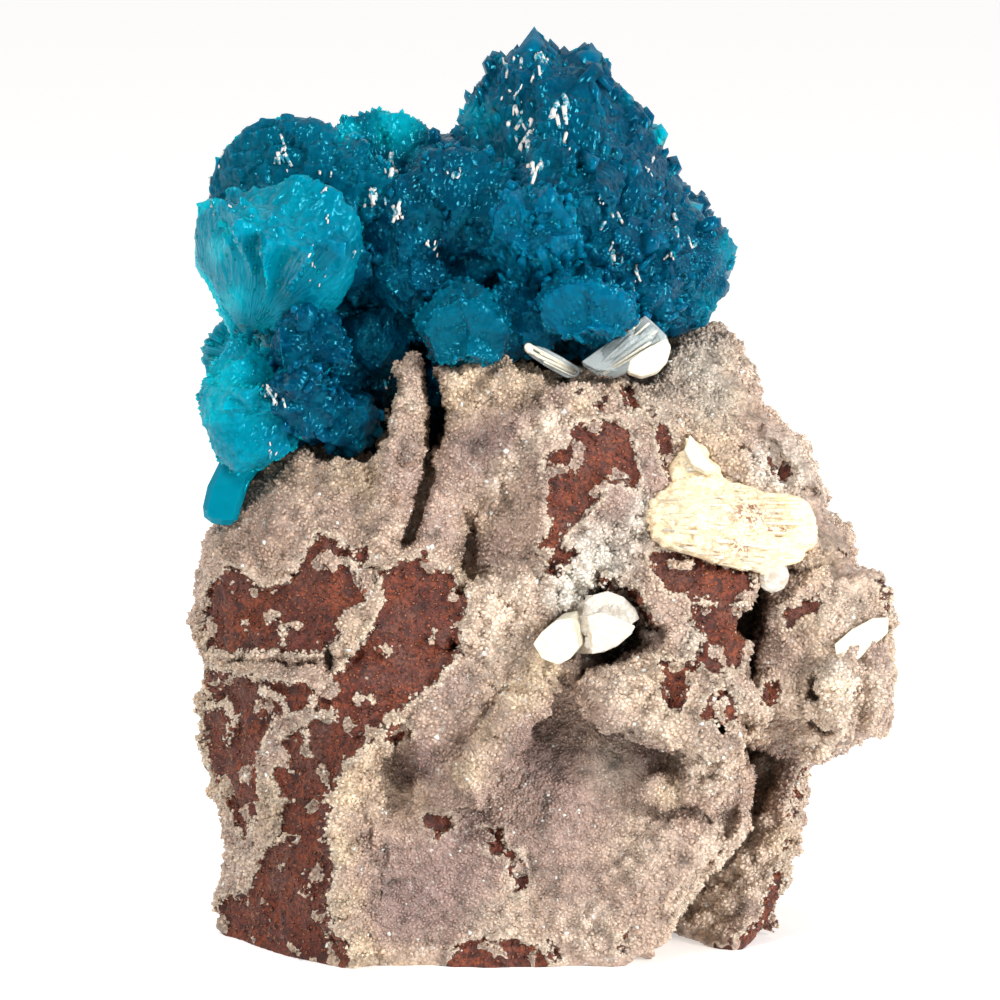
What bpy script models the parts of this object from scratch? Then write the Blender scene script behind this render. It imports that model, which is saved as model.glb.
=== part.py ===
"""A cavansite specimen: blue crystal sprays and a few stilbite crystals on a piece of basalt breccia."""

import math
import random

import bmesh
import bpy
from mathutils import Matrix, Vector, noise

MM = 0.001

# Driving dimensions of the specimen.
SEEN_HEIGHT = 66.0 * MM  # top to bottom as the photograph sees it
BASE_CUT = -29.9 * MM  # height of the flat it rests on, from the middle of the photograph
MIDDLE = (3.1 * MM, 0.6 * MM)  # middle of the footprint, from the middle of the photograph
CRYSTAL_GAP = 0.35 * MM  # room between the blue crystals and the rock that they sit on
SOCKET_GAP = 0.49 * MM  # room round a stilbite in the rock and in the blue crystals
THINNING_SLACK = 0.3 * MM  # how far the thinned rock may stand off the fine one
CUTTER_SIZE = 200 * MM  # a block that is larger than the specimen
ROCK_VOXEL = 0.5 * MM
ROCK_SOFTENING = (0.5, 3)  # share of the way to a vertex's neighbours, and how many times
ROCK_TRIANGLES = 4500
SEAT_TRIANGLES = 5200

# Relief of the broken rock: how wide and how high its forms are. The first two are only behind.
BACK_STARTS = 3 * MM
BACK_FULL = 10 * MM
BACK_SWELL = (9.0 * MM, 1.9 * MM)
BACK_RIDGE = (6.5 * MM, 1.1 * MM)
COARSE_LUMP = (5.2 * MM, 0.34 * MM)
FINE_LUMP = (2.3 * MM, 0.22 * MM)

# Colours and roughness.
CRUSTED_BASALT = ((0.42, 0.30, 0.23), 0.75)
CAVANSITE_BLUE = ((0.002, 0.16, 0.27), 0.3)
STILBITE_WHITE = ((0.86, 0.80, 0.66), 0.25)

# The photograph's view, which places every point given as (px, py, depth in mm).
# Depth runs away from the lens, from the plane through the specimen's middle.
TOP_PX = 27
BOTTOM_PX = 968
CENTRE_PX = 500
PIXEL = SEEN_HEIGHT / (BOTTOM_PX - TOP_PX)
VIEW_DISTANCE = 450 * MM
VIEW_TILT = math.radians(8)

SIX_WAYS = [(1, 0, 0), (-1, 0, 0), (0, 1, 0), (0, -1, 0), (0, 0, 1), (0, 0, -1)]

# Chunks of the rock, each the hull of its corners.
ROCK_CHUNKS = {
    "left_core": [
        (225, 560, 0), (222, 700, 0), (245, 840, 0), (240, 985, 2), (430, 985, 2), (430, 600, 2),
        (290, 478, 1), (372, 474, 1), (300, 500, 12), (250, 620, 12), (262, 820, 11),
        (270, 985, 10), (420, 985, 13), (430, 620, 17), (380, 500, 13), (340, 700, 16),
    ],
    "right_core": [
        (400, 640, 2), (450, 400, 0), (520, 392, 0), (600, 380, 1), (700, 340, 4), (735, 380, 5),
        (785, 460, 4), (815, 540, 4), (800, 700, 4), (735, 810, 4), (665, 900, 5), (625, 985, 4),
        (400, 985, 2), (470, 430, 13), (560, 380, 15), (690, 360, 13), (770, 500, 14),
        (780, 680, 13), (700, 830, 13), (620, 985, 12), (420, 985, 14), (420, 640, 17),
        (560, 600, 19), (640, 560, 18), (520, 820, 17),
    ],
    "upper_left": [
        (205, 541, -1), (197, 610, -1), (197, 640, -1), (206, 655, -1), (238, 514, -2),
        (257, 470, -2), (300, 450, -2), (340, 450, -3), (374, 468, -4), (300, 500, -7.4),
        (335, 500, -9), (376, 500, -9.5), (222, 567, -6), (318, 535, -10), (380, 545, -11.5),
        (403, 555, -12), (440, 568, -12.2), (463, 595, -12.2), (462, 640, -12.5),
        (335, 650, -12.5), (228, 655, -7.5), (215, 545, 8), (210, 650, 8), (268, 485, 9),
        (320, 462, 11), (372, 476, 12), (440, 600, 12),
    ],
    "middle_left": [
        (207, 660, -1), (201, 700, -1), (204, 722, -1), (212, 765, -1), (220, 800, -1),
        (236, 838, -1), (232, 666, -7), (330, 666, -12.5), (458, 655, -12.5), (425, 690, -12.8),
        (380, 722, -13), (345, 758, -12.5), (330, 800, -12), (262, 780, -8.5), (262, 850, -6),
        (212, 670, 8), (215, 770, 8), (245, 840, 8), (440, 680, 12), (360, 840, 12),
    ],
    "foot": [
        (240, 846, -1), (220, 890, -1), (216, 922, -1), (226, 946, -2), (280, 960, -8),
        (345, 975, -12.6), (266, 838, -6), (290, 800, -9.5), (334, 795, -12.2),
        (326, 880, -13.6), (347, 950, -13.2), (290, 870, -10.8), (228, 910, 9), (245, 850, 9),
        (240, 985, 8), (350, 985, 10), (345, 800, 10),
    ],
    "rim": [
        (352, 757, -12.2), (333, 792, -13.2), (327, 880, -14.2), (347, 955, -13.8),
        (352, 972, -12.8), (374, 760, -11.2), (377, 800, -11.6), (377, 868, -12.2),
        (364, 925, -12.6), (362, 975, -12.4), (350, 770, 0), (345, 960, 0), (385, 860, -2),
    ],
    "bowl": [
        (372, 735, -6.5), (400, 700, -8), (520, 690, -7.5), (620, 715, -7.5), (735, 745, -8.5),
        (751, 780, -8.5), (750, 812, -8.8), (716, 848, -10), (690, 880, -10.8),
        (655, 918, -11.6), (640, 938, -11.8), (622, 975, -11.8), (480, 975, -12),
        (360, 975, -12), (360, 900, -10.4), (735, 780, 4), (735, 815, 4), (690, 870, 4),
        (640, 940, 4), (360, 740, 4), (360, 980, 4), (620, 980, 4),
    ],
    "lower_lip": [
        (445, 958, -12.8), (470, 938, -12.6), (530, 940, -12.6), (560, 962, -12.6),
        (560, 985, -12), (445, 985, -12), (480, 930, -10), (540, 930, -10),
    ],
    "bowl_bank": [
        (604, 905, -12.4), (640, 880, -12.6), (665, 822, -12), (716, 828, -11.8),
        (705, 858, -11.8), (690, 880, -12), (660, 905, -12.4), (648, 925, -12.4),
        (630, 948, -12.6), (626, 975, -12.2), (606, 975, -12.4), (620, 880, -8),
        (670, 815, -8), (700, 850, -6), (620, 970, -6),
    ],
    "step": [
        (440, 668, -12.4), (500, 655, -12), (530, 660, -11.5), (515, 705, -11.8),
        (490, 745, -12), (470, 782, -11.6), (430, 795, -10.8), (428, 700, -12.6),
        (395, 718, -12.4), (412, 760, -9.6), (470, 680, -4), (430, 780, -4),
    ],
    "ramp_lower": [
        (463, 595, -12), (480, 580, -9), (560, 560, -10.5), (600, 560, -11), (545, 610, -11.6),
        (540, 655, -11.6), (590, 672, -11.5), (600, 700, -10), (545, 700, -9.6),
        (520, 670, -11.6), (462, 645, -12.2), (480, 620, 2), (580, 640, 2), (540, 690, 0),
    ],
    "ramp_upper": [
        (525, 430, -10.2), (545, 455, -11.6), (546, 540, -11.6), (565, 578, -10.6),
        (500, 485, -8.6), (464, 512, -6), (458, 584, -6.8), (500, 440, -8), (520, 570, -9.4),
        (500, 470, 2), (560, 560, 2), (462, 580, 2), (466, 515, 2),
    ],
    "block_top": [
        (443, 390, -4), (450, 386, -6), (457, 377, -5.6), (488, 363, -4.6), (500, 377, -5),
        (446, 420, -7.6), (446, 442, -8), (442, 462, -8.6), (470, 500, -9), (462, 520, -9.6),
        (500, 470, -8.8), (525, 430, -9.6), (540, 400, -8.6), (560, 388, -7),
        (446, 395, 6), (490, 368, 8), (560, 386, 8), (450, 470, 6), (480, 520, 2),
    ],
    "block_foot": [
        (442, 460, -8.6), (431, 475, -9.2), (428, 492, -9.8), (409, 530, -11.2),
        (405, 546, -11.8), (440, 566, -12), (458, 566, -11.4), (463, 520, -10.2),
        (470, 480, -9), (440, 485, 4), (420, 548, 4), (455, 560, 4),
    ],
    "saddle": [
        (556, 566, -11.2), (575, 530, -11.6), (600, 503, -12), (645, 490, -11.4),
        (652, 424, -10.4), (690, 424, -8.6), (742, 426, -5.6), (765, 470, -7.4),
        (745, 505, -8.6), (700, 510, -9.6), (652, 548, -11.4), (600, 577, -11.6),
        (600, 520, 2), (700, 460, 2), (640, 565, 2),
    ],
    "back_top": [
        (262, 468, 4), (300, 452, 6), (372, 440, 6), (470, 385, 6), (600, 350, 6), (690, 335, 6),
        (300, 440, 12), (400, 392, 13), (520, 350, 14), (640, 322, 13), (700, 330, 12),
        (290, 560, 12.6), (420, 560, 16), (560, 480, 18), (690, 460, 15),
    ],
    "red_face": [
        (524, 430, -10), (545, 455, -12.2), (543, 500, -12.4), (551, 545, -12), (575, 430, -12.2),
        (600, 414, -11.8), (640, 425, -11.4), (642, 490, -11.6), (600, 500, -12.2),
        (560, 560, -11.4), (565, 408, -9.6), (600, 382, -7), (650, 400, -8.6),
        (560, 430, 4), (640, 410, 4), (600, 540, 2),
    ],
    "shoulder": [
        (560, 388, -4), (600, 368, -4.6), (672, 338, -1), (690, 332, 0), (712, 323, 2),
        (724, 331, 2), (745, 355, 2), (749, 372, 2), (756, 386, 1), (753, 408, -1),
        (590, 400, -8.8), (650, 415, -9.6), (680, 430, -8.6), (740, 430, -5), (675, 345, -3.4),
        (730, 345, -1), (735, 400, -4), (690, 336, 10), (735, 352, 9), (748, 400, 9),
        (600, 372, 10),
    ],
    "right_lobe": [
        (752, 404, -1), (775, 421, -1), (791, 430, -1), (801, 444, -1), (811, 466, -1),
        (822, 490, 0), (820, 516, 0), (760, 428, -4.4), (795, 450, -4.6), (812, 490, -5),
        (800, 515, -7), (745, 470, -7), (700, 440, -7), (755, 420, 9), (800, 455, 9),
        (818, 510, 9), (700, 500, 4), (740, 520, -7),
    ],
    "right_brow": [
        (815, 515, -2), (830, 521, -1), (848, 533, 0), (848, 543, 0), (842, 552, 0),
        (846, 564, 0), (800, 545, -7.6), (835, 560, -6), (815, 585, -8), (770, 560, -8),
        (830, 525, 7), (846, 560, 7), (800, 590, 7), (780, 540, 6),
    ],
    "mottle": [
        (600, 560, -11.4), (640, 545, -11), (700, 548, -11.4), (755, 565, -10), (760, 590, -10.6),
        (745, 620, -12), (690, 600, -12.6), (640, 600, -12.4), (600, 585, -11.8),
        (640, 640, -12.4), (700, 640, -13.4), (620, 560, 2), (740, 570, 2), (690, 640, 0),
    ],
    "ledge": [
        (592, 678, -14.4), (592, 700, -14.6), (618, 714, -15), (650, 730, -15.8),
        (690, 735, -16.6), (706, 738, -16.8), (722, 733, -16.4), (741, 712, -15.4),
        (750, 672, -13.8), (748, 630, -12.6), (700, 640, -13.8), (658, 640, -13.4),
        (620, 662, -14), (600, 690, -6), (690, 722, -5), (745, 690, -4), (690, 640, -4),
    ],
    "under_ledge": [
        (600, 690, -9), (648, 735, -8.4), (735, 742, -8.4), (742, 720, -8), (600, 720, -8),
        (680, 770, -9.4), (640, 760, -8.8), (740, 760, -8.4), (620, 700, 2), (740, 730, 2),
        (690, 770, 0),
    ],
    "plate": [
        (700, 736, -13.8), (732, 735, -13.8), (735, 750, -13.6), (728, 775, -13.6),
        (718, 792, -13), (711, 797, -12.8), (692, 788, -12.6), (685, 776, -12.6),
        (695, 750, -13.4), (700, 735, -9), (730, 740, -8), (725, 785, -9), (690, 780, -8),
    ],
    "knob": [
        (768, 580, -7.4), (800, 572, -6), (845, 563, -2), (862, 568, -1.6), (880, 580, -1.6),
        (889, 608, -1.6), (888, 650, -1), (889, 682, -1), (880, 720, -1), (862, 726, -1),
        (860, 740, -1), (845, 748, -1), (825, 757, -1), (805, 758, -1), (765, 740, -5.6),
        (745, 740, -5), (758, 690, -8.6), (770, 640, -9.4), (790, 620, -10), (820, 600, -8.8),
        (840, 600, -7.6), (835, 650, -10.6), (835, 712, -10), (800, 690, -8.8),
        (862, 690, -7.4), (878, 690, -5.6), (850, 735, -5), (845, 580, 6), (878, 600, 6),
        (880, 690, 6), (845, 738, 6), (780, 745, 6), (770, 620, 6),
    ],
    "slab": [
        (805, 762, -2.4), (802, 778, -2.8), (795, 815, -3.4), (783, 852, -4), (778, 905, -5),
        (765, 926, -6), (745, 950, -7), (728, 958, -7.4), (690, 948, -4.4), (655, 922, 1),
        (742, 755, 3.6), (742, 805, 3.2), (700, 868, 2.4), (668, 905, 2), (803, 768, 3),
        (790, 830, 4), (772, 905, 5), (740, 960, 4), (690, 960, 7), (660, 935, 9),
        (750, 760, 11), (700, 860, 12),
    ],
    "fin": [
        (418, 344, -4.4), (421, 360, -5.8), (423, 395, -8.6), (423, 416, -9.4), (419, 460, -10.6),
        (418, 500, -11.4), (404, 540, -12.2), (411, 349, -5), (400, 380, -7.8),
        (392, 396, -8.6), (390, 460, -10.6), (379, 490, -11.2), (373, 530, -11.8),
        (378, 545, -12), (414, 354, 1), (404, 390, 3), (396, 460, 4), (380, 530, 4),
        (420, 400, 3), (415, 500, 4),
    ],
    "back_left": [
        (240, 540, 8), (330, 500, 13), (430, 540, 17), (480, 620, 19.4), (430, 700, 19),
        (340, 720, 16.6), (240, 700, 10), (340, 600, 17.6), (400, 620, 19), (290, 620, 4),
        (400, 600, 6),
    ],
    "back_low": [
        (296, 710, 15.4), (400, 690, 19), (520, 730, 19.6), (575, 800, 18.4), (540, 905, 16.6),
        (410, 935, 15.6), (310, 890, 14), (430, 790, 20.4), (400, 780, 6), (500, 820, 6),
    ],
    "back_right": [
        (620, 500, 19.2), (725, 505, 17.4), (772, 590, 16.2), (735, 690, 16.4),
        (640, 690, 18), (600, 590, 20.6), (680, 560, 19.6), (660, 600, 6), (720, 600, 6),
    ],
    "back_foot": [
        (500, 880, 17), (600, 860, 16.6), (690, 880, 12.6), (650, 985, 12.8), (520, 985, 16.4),
        (560, 900, 6), (640, 900, 6),
    ],
}

# Round lumps of crust on the rock: centre and radius in mm.
ROCK_LUMPS = [
    ((545, 664, -10.6), 1.1), ((527, 682, -11), 1.2), ((516, 702, -11.4), 1.2),
    ((505, 722, -11.6), 1.2), ((492, 744, -11.6), 1.2), ((480, 764, -11.4), 1.3),
    ((460, 772, -11.4), 1.2), ((446, 788, -10.6), 1.1), ((432, 792, -10.4), 0.9),
    ((455, 396, -6.6), 1.1), ((472, 386, -6.4), 1.2), ((486, 376, -5.6), 1.0),
    ((503, 392, -7.2), 1.2), ((526, 396, -8), 1.1), ((668, 792, -10.6), 1.2),
    ((838, 676, -10.4), 1.2), ((836, 698, -10.2), 1.1), ((868, 664, -7), 1.4),
    ((868, 704, -6.6), 1.3), ((820, 738, -6.6), 1.4), ((772, 695, -9.6), 1.1),
    ((538, 706, -10), 1.0), ((640, 762, -9.6), 1.1), ((300, 470, -5.6), 1.2),
    ((330, 474, -6.4), 1.1), ((356, 482, -7.6), 1.2),
]

# Wedges cut out of the rock: cracks, crevices, pits and the slot under the white crystals.
ROCK_CUTS = {
    "left_crack": [
        (180, 650, -10), (180, 664, -10), (250, 652, -14), (250, 663, -14), (334, 646, -18),
        (334, 667, -18), (205, 657, 3), (326, 657, -6),
    ],
    "fin_foot_crevice": [
        (421, 470, -20), (428, 500, -20), (404, 546, -20), (398, 540, -20), (419, 500, -20),
        (418, 500, -4), (406, 538, -6),
    ],
    "slot": [
        (583, 660, -20), (600, 648, -20), (632, 629, -20), (662, 638, -20), (640, 652, -20),
        (602, 676, -20), (590, 674, -20), (600, 656, -4), (640, 638, -4), (606, 666, -4),
    ],
    "back_crack": [
        (420, 560, 26), (436, 566, 26), (520, 760, 26), (506, 766, 26), (560, 860, 25),
        (480, 700, 15.4), (440, 600, 15.6), (545, 830, 15.4),
    ],
    "back_nick": [
        (690, 400, 24), (770, 470, 24), (720, 500, 24), (650, 440, 24), (715, 455, 12.4),
    ],
    "ledge_undercut": [
        (630, 716, -20), (652, 733, -20), (690, 738, -20), (702, 741, -20), (694, 762, -20),
        (664, 752, -20), (640, 732, -20), (655, 735, -6.4), (695, 745, -6.4), (690, 758, -7.4),
    ],
    "knob_crevice": [
        (756, 594, -20), (764, 600, -20), (761, 680, -20), (746, 684, -20), (744, 655, -20),
        (750, 620, -20), (757, 610, -4.6), (752, 676, -4.6),
    ],
    "leaf_pit": [
        (766, 441, -20), (780, 455, -20), (790, 472, -20), (786, 487, -20), (776, 487, -20),
        (768, 460, -20), (776, 456, -2.6), (782, 478, -2.8),
    ],
    "bowl_hollow": [
        (396, 742, -20), (418, 748, -20), (416, 806, -20), (404, 820, -20), (390, 800, -20),
        (400, 760, -6.4), (408, 800, -6.6),
    ],
    "knob_hole": [
        (804, 680, -20), (824, 680, -20), (822, 704, -20), (806, 704, -20), (812, 685, -6),
        (816, 698, -6),
    ],
}

# Sprays of blue crystals: root, reach of the middle crystal, half angles across and in depth,
# and whether the spray is fine, with many small crystals, or coarse.
SPRAYS = [
    ((262, 322, -5), (298, 184, -9.5), 34, 34, "fine"),
    ((258, 334, -5), (216, 224, -5), 12, 30, "coarse"),
    ((264, 330, -4), (211, 256, -3), 13, 26, "coarse"),
    ((305, 300, 2), (240, 142, 0), 16, 34, "coarse"),
    ((310, 300, 2), (288, 126, 0), 18, 34, "coarse"),
    ((340, 300, 2), (330, 138, 0), 16, 34, "coarse"),
    ((350, 300, 1), (348, 160, -4), 18, 34, "coarse"),
    ((385, 262, 5), (372, 121, 5), 20, 30, "coarse"),
    ((425, 262, 4), (412, 126, 4), 12, 28, "coarse"),
    ((446, 262, 3), (446, 130, 2), 14, 30, "coarse"),
    ((545, 285, 0), (484, 96, 0), 9, 20, "coarse"),
    ((560, 285, 0), (510, 48, -1), 7, 18, "coarse"),
    ((565, 285, 0), (536, 27, -1), 5, 14, "coarse"),
    ((568, 290, 0), (568, 44, -1), 7, 18, "coarse"),
    ((572, 290, 0), (598, 44, -1), 6, 18, "coarse"),
    ((574, 295, 0), (630, 92, -1), 9, 20, "coarse"),
    ((578, 300, 0), (656, 130, -1), 8, 20, "coarse"),
    ((582, 300, 0), (682, 184, -1), 9, 20, "coarse"),
    ((586, 305, 0), (704, 222, -1), 9, 20, "coarse"),
    ((590, 305, -1), (736, 248, -2), 10, 24, "coarse"),
    ((612, 300, -1), (722, 290, -2), 16, 28, "coarse"),
    ((610, 290, -2), (672, 268, -9), 32, 32, "fine"),
    ((610, 310, -1), (690, 326, -4), 18, 28, "coarse"),
    ((560, 270, 0), (560, 140, -8), 24, 28, "fine"),
    ((548, 290, -2), (535, 205, -11), 30, 30, "coarse"),
    ((585, 335, -4), (584, 288, -11.5), 48, 42, "coarse"),
    ((466, 352, -3), (464, 312, -11), 48, 44, "coarse"),
    ((420, 320, 0), (404, 254, -7), 34, 34, "coarse"),
    ((480, 300, 0), (488, 190, -5), 26, 32, "coarse"),
    ((520, 330, -2), (516, 300, -9), 44, 40, "coarse"),
    ((330, 300, -2), (345, 235, -7), 34, 34, "coarse"),
    ((308, 345, -3), (312, 342, -11), 38, 38, "coarse"),
    ((272, 402, -4), (206, 398, -5), 25, 34, "coarse"),
    ((272, 395, -4), (240, 425, -10), 40, 36, "coarse"),
    ((322, 372, -4), (306, 415, -11.5), 34, 34, "coarse"),
    ((345, 392, -3), (350, 436, -9), 36, 34, "coarse"),
    ((380, 330, 0), (372, 352, -5), 40, 40, "coarse"),
    ((570, 230, 2), (575, 170, 12), 44, 40, "coarse"),
    ((640, 260, 2), (668, 236, 11), 40, 36, "coarse"),
    ((480, 270, 4), (470, 215, 12), 40, 36, "coarse"),
    ((390, 270, 5), (380, 216, 13), 36, 36, "coarse"),
    ((300, 260, 4), (285, 210, 12), 40, 36, "coarse"),
    ((270, 370, 3), (240, 350, 10), 40, 36, "coarse"),
    ((310, 370, 4), (305, 340, 12.5), 44, 40, "coarse"),
    ((400, 340, 4), (396, 305, 13), 44, 40, "coarse"),
    ((520, 310, 4), (518, 285, 12.5), 46, 42, "coarse"),
    ((620, 300, 3), (630, 290, 12), 46, 42, "coarse"),
    ((545, 200, 2), (540, 120, 8), 30, 30, "coarse"),
    ((605, 200, 2), (622, 150, 8), 30, 30, "coarse"),
]
SPRAY_GRAIN = {"coarse": 2, "fine": 3}  # subdivisions of the round cap
CAP_HALF_ANGLE = math.radians(36)
POINT_HEIGHT = 1.1 * MM  # how far a crystal's point stands out of its spray
POINT_SPREAD = 0.5  # share of that height by which crystals differ
NEARLY_ALONG = 0.2  # a spray this close to the line of sight is turned about the vertical

# Massive blue crystal between the sprays, and the blade at the lower left.
BLUE_CORES = [
    [
        (262, 300, -5), (300, 230, -3), (350, 220, -2), (380, 330, -3), (360, 430, -6),
        (300, 440, -7), (250, 400, -5), (262, 340, -5), (262, 478, -3), (270, 300, 8),
        (350, 230, 9), (380, 430, 8), (262, 420, 6), (390, 300, 9), (300, 490, 2),
        (380, 490, 2),
    ],
    [
        (350, 250, -2), (430, 170, -1), (520, 160, -2), (520, 330, -5), (440, 350, -5),
        (380, 380, -3), (360, 330, -3), (360, 260, 9), (520, 200, 9), (520, 390, 8),
        (390, 420, 8), (440, 400, -1), (345, 170, 4), (430, 160, 6),
    ],
    [
        (535, 48, -1), (503, 68, -1), (468, 128, -1), (456, 140, 1), (462, 240, -4),
        (560, 150, -6.6), (600, 62, -1), (624, 110, -1), (652, 150, -1), (676, 190, -1),
        (700, 236, -1), (716, 262, -2), (704, 318, -3), (670, 330, -3), (600, 345, -5),
        (510, 345, -5), (530, 70, 4), (600, 90, 4), (480, 180, 8), (660, 200, 8),
        (700, 300, 7), (660, 370, 8), (510, 390, 8),
    ],
    [
        (224, 158, 1), (244, 134, 1), (262, 127, 1), (304, 131, 1), (334, 143, 1), (350, 200, -2),
        (240, 200, -4), (300, 180, -5), (250, 300, -2), (360, 260, 0), (240, 170, 7),
        (330, 160, 8), (340, 300, 8), (250, 260, 6),
    ],
]
BLUE_BLADE = [
    (222, 452, -3), (264, 462, -5), (203, 505, -2.4), (202, 519, -2.4), (207, 523, -2.6),
    (221, 519, -4), (237, 525, -5), (241, 508, -5.6), (252, 480, -6), (262, 440, -5),
    (224, 440, 2), (262, 455, 2), (206, 508, 0.4), (236, 512, 0.4), (280, 430, -3),
]

# Stilbite crystals, each the hull of its corners or several hulls grown together.
STILBITES = {
    "stilbite_blade_top": [[
        (523, 345, -10.6), (528, 342, -10.2), (560, 357, -8.8), (590, 374, -6.8),
        (584, 388, -7.2), (564, 379, -9), (531, 357, -10.6), (526, 352, -9.4),
        (560, 366, -7.2), (588, 384, -5.4),
    ]],
    "stilbite_fan_top": [[
        (645, 316, -4.4), (668, 337, -5.4), (671, 345, -6.4), (664, 369, -8.4),
        (640, 378, -9.6), (624, 372, -9.6), (600, 368, -8.8), (580, 364, -7.4),
        (604, 347, -5.6), (625, 332, -4.8), (648, 322, -2), (668, 350, -1), (600, 372, -3),
        (640, 392, -4),
    ]],
    "stilbite_sheaf_right": [
        [
            (652, 500, -11.8), (648, 520, -12.4), (662, 546, -12.6), (700, 552, -12.4),
            (735, 566, -11.6), (766, 572, -10.6), (800, 562, -9.6), (813, 545, -8.4),
            (813, 520, -7.6), (800, 502, -7.4), (760, 490, -8.6), (720, 480, -9.6),
            (690, 476, -10), (740, 520, -12.4), (700, 510, -12.8), (660, 520, -6),
            (740, 540, -3), (800, 530, -3),
        ],
        [
            (684, 438, -9), (696, 442, -9.4), (712, 462, -10), (724, 482, -10.6),
            (700, 500, -11.4), (676, 492, -10.6), (670, 470, -10), (690, 450, -6),
            (710, 480, -5), (680, 490, -5),
        ],
    ],
    "stilbite_block_middle": [
        [
            (538, 637, -12.4), (548, 624, -12.6), (574, 610, -12.4), (590, 622, -12.2),
            (596, 640, -12.4), (590, 652, -13), (574, 660, -13.4), (555, 656, -13.4),
            (540, 647, -13), (560, 630, -8), (585, 640, -7), (570, 650, -8),
        ],
        [
            (572, 592, -11.6), (598, 578, -11.4), (612, 584, -11.8), (618, 622, -13),
            (604, 646, -13.4), (590, 642, -13), (578, 618, -12.4), (590, 600, -6),
            (610, 630, -7),
        ],
        [
            (606, 588, -12), (628, 590, -12.4), (648, 606, -13), (652, 630, -13.6),
            (632, 630, -13.4), (610, 642, -13.6), (612, 612, -12.8), (620, 604, -7),
            (640, 622, -7),
        ],
    ],
    "stilbite_wedge_right": [[
        (889, 617, -3.4), (872, 618, -7.4), (850, 630, -10), (834, 644, -11.4),
        (836, 658, -11.6), (846, 667, -11.4), (858, 660, -10.2), (872, 645, -8.4),
        (888, 633, -4), (880, 620, 1), (850, 640, -5), (850, 655, -5), (884, 632, 1),
    ]],
}


def at(px, py, depth):
    """The point, in metres, that the photograph shows at a pixel and at a depth in mm."""
    away = depth * MM
    span = PIXEL * (1 + away / VIEW_DISTANCE)
    right = (px - CENTRE_PX) * span
    up = (CENTRE_PX - py) * span
    lean, rise = math.sin(VIEW_TILT), math.cos(VIEW_TILT)
    return Vector((
        right - MIDDLE[0],
        away * rise + up * lean - MIDDLE[1],
        up * rise - away * lean - BASE_CUT,
    ))


def material(name, colour, roughness):
    made = bpy.data.materials.new(name)
    made.use_nodes = True
    shader = made.node_tree.nodes["Principled BSDF"]
    shader.inputs["Base Color"].default_value = (*colour, 1)
    shader.inputs["Roughness"].default_value = roughness
    return made


def new_object(name, bm, hidden=False):
    """A mesh object of the bmesh, as a node of the part or as a hidden cutter."""
    bmesh.ops.recalc_face_normals(bm, faces=bm.faces)
    mesh = bpy.data.meshes.new(name)
    bm.to_mesh(mesh)
    bm.free()
    made = bpy.data.objects.new(name, mesh)
    bpy.context.scene.collection.objects.link(made)
    if hidden:
        made.hide_render = True
        made.display_type = "WIRE"
    return made


def hull(name, corners, hidden=True, margin=0.0):
    """The convex hull of corners given as (px, py, depth), larger all round by the margin."""
    steps = [Vector(s) * margin for s in SIX_WAYS] if margin else [Vector()]
    bm = bmesh.new()
    for corner in corners:
        for step in steps:
            bm.verts.new(at(*corner) + step)
    found = bmesh.ops.convex_hull(bm, input=bm.verts)
    inner = [v for v in found["geom_interior"] if isinstance(v, bmesh.types.BMVert)]
    bmesh.ops.delete(bm, geom=inner, context="VERTS")
    return new_object(name, bm, hidden)


def ball(name, centre, radius):
    """A round lump, with its radius in mm."""
    bm = bmesh.new()
    place = Matrix.Translation(at(*centre))
    bmesh.ops.create_icosphere(bm, subdivisions=2, radius=radius * MM, matrix=place)
    return new_object(name, bm, hidden=True)


def applied(body):
    """Replaces the object's mesh with what its modifiers make, and drops them."""
    graph = bpy.context.evaluated_depsgraph_get()
    made = bpy.data.meshes.new_from_object(body.evaluated_get(graph))
    body.modifiers.clear()
    body.data = made


def combine(body, operation, others):
    """One Boolean with several objects at once."""
    group = bpy.data.collections.new(f"{operation.lower()}_{body.name}")
    for other in others:
        group.objects.link(other)
    cut = body.modifiers.new(operation.title(), "BOOLEAN")
    cut.operation = operation
    cut.operand_type = "COLLECTION"
    cut.collection = group
    cut.solver = "EXACT"
    applied(body)


def remeshed(body, voxel):
    body.modifiers.new("Voxels", "REMESH").voxel_size = voxel
    applied(body)


def thinned(body, triangles):
    """Collapses edges until about this many triangles are left."""
    body.modifiers.new("Triangulate", "TRIANGULATE")
    applied(body)
    thin = body.modifiers.new("Thin", "DECIMATE")
    thin.ratio = min(1.0, triangles / len(body.data.polygons))
    applied(body)


def smoothed(body, factor, times):
    soften = body.modifiers.new("Soften", "SMOOTH")
    soften.factor = factor
    soften.iterations = times
    applied(body)


def largest_body(body):
    """Keeps the biggest connected shell and drops chips that a cut has left loose."""
    bm = bmesh.new()
    bm.from_mesh(body.data)
    left = set(bm.verts)
    shells = []
    while left:
        shell, edge = set(), [left.pop()]
        while edge:
            vertex = edge.pop()
            shell.add(vertex)
            for link in vertex.link_edges:
                other = link.other_vert(vertex)
                if other in left:
                    left.remove(other)
                    edge.append(other)
        shells.append(shell)
    shells.sort(key=len, reverse=True)
    loose = [vertex for shell in shells[1:] for vertex in shell]
    bmesh.ops.delete(bm, geom=loose, context="VERTS")
    bm.to_mesh(body.data)
    bm.free()


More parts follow.
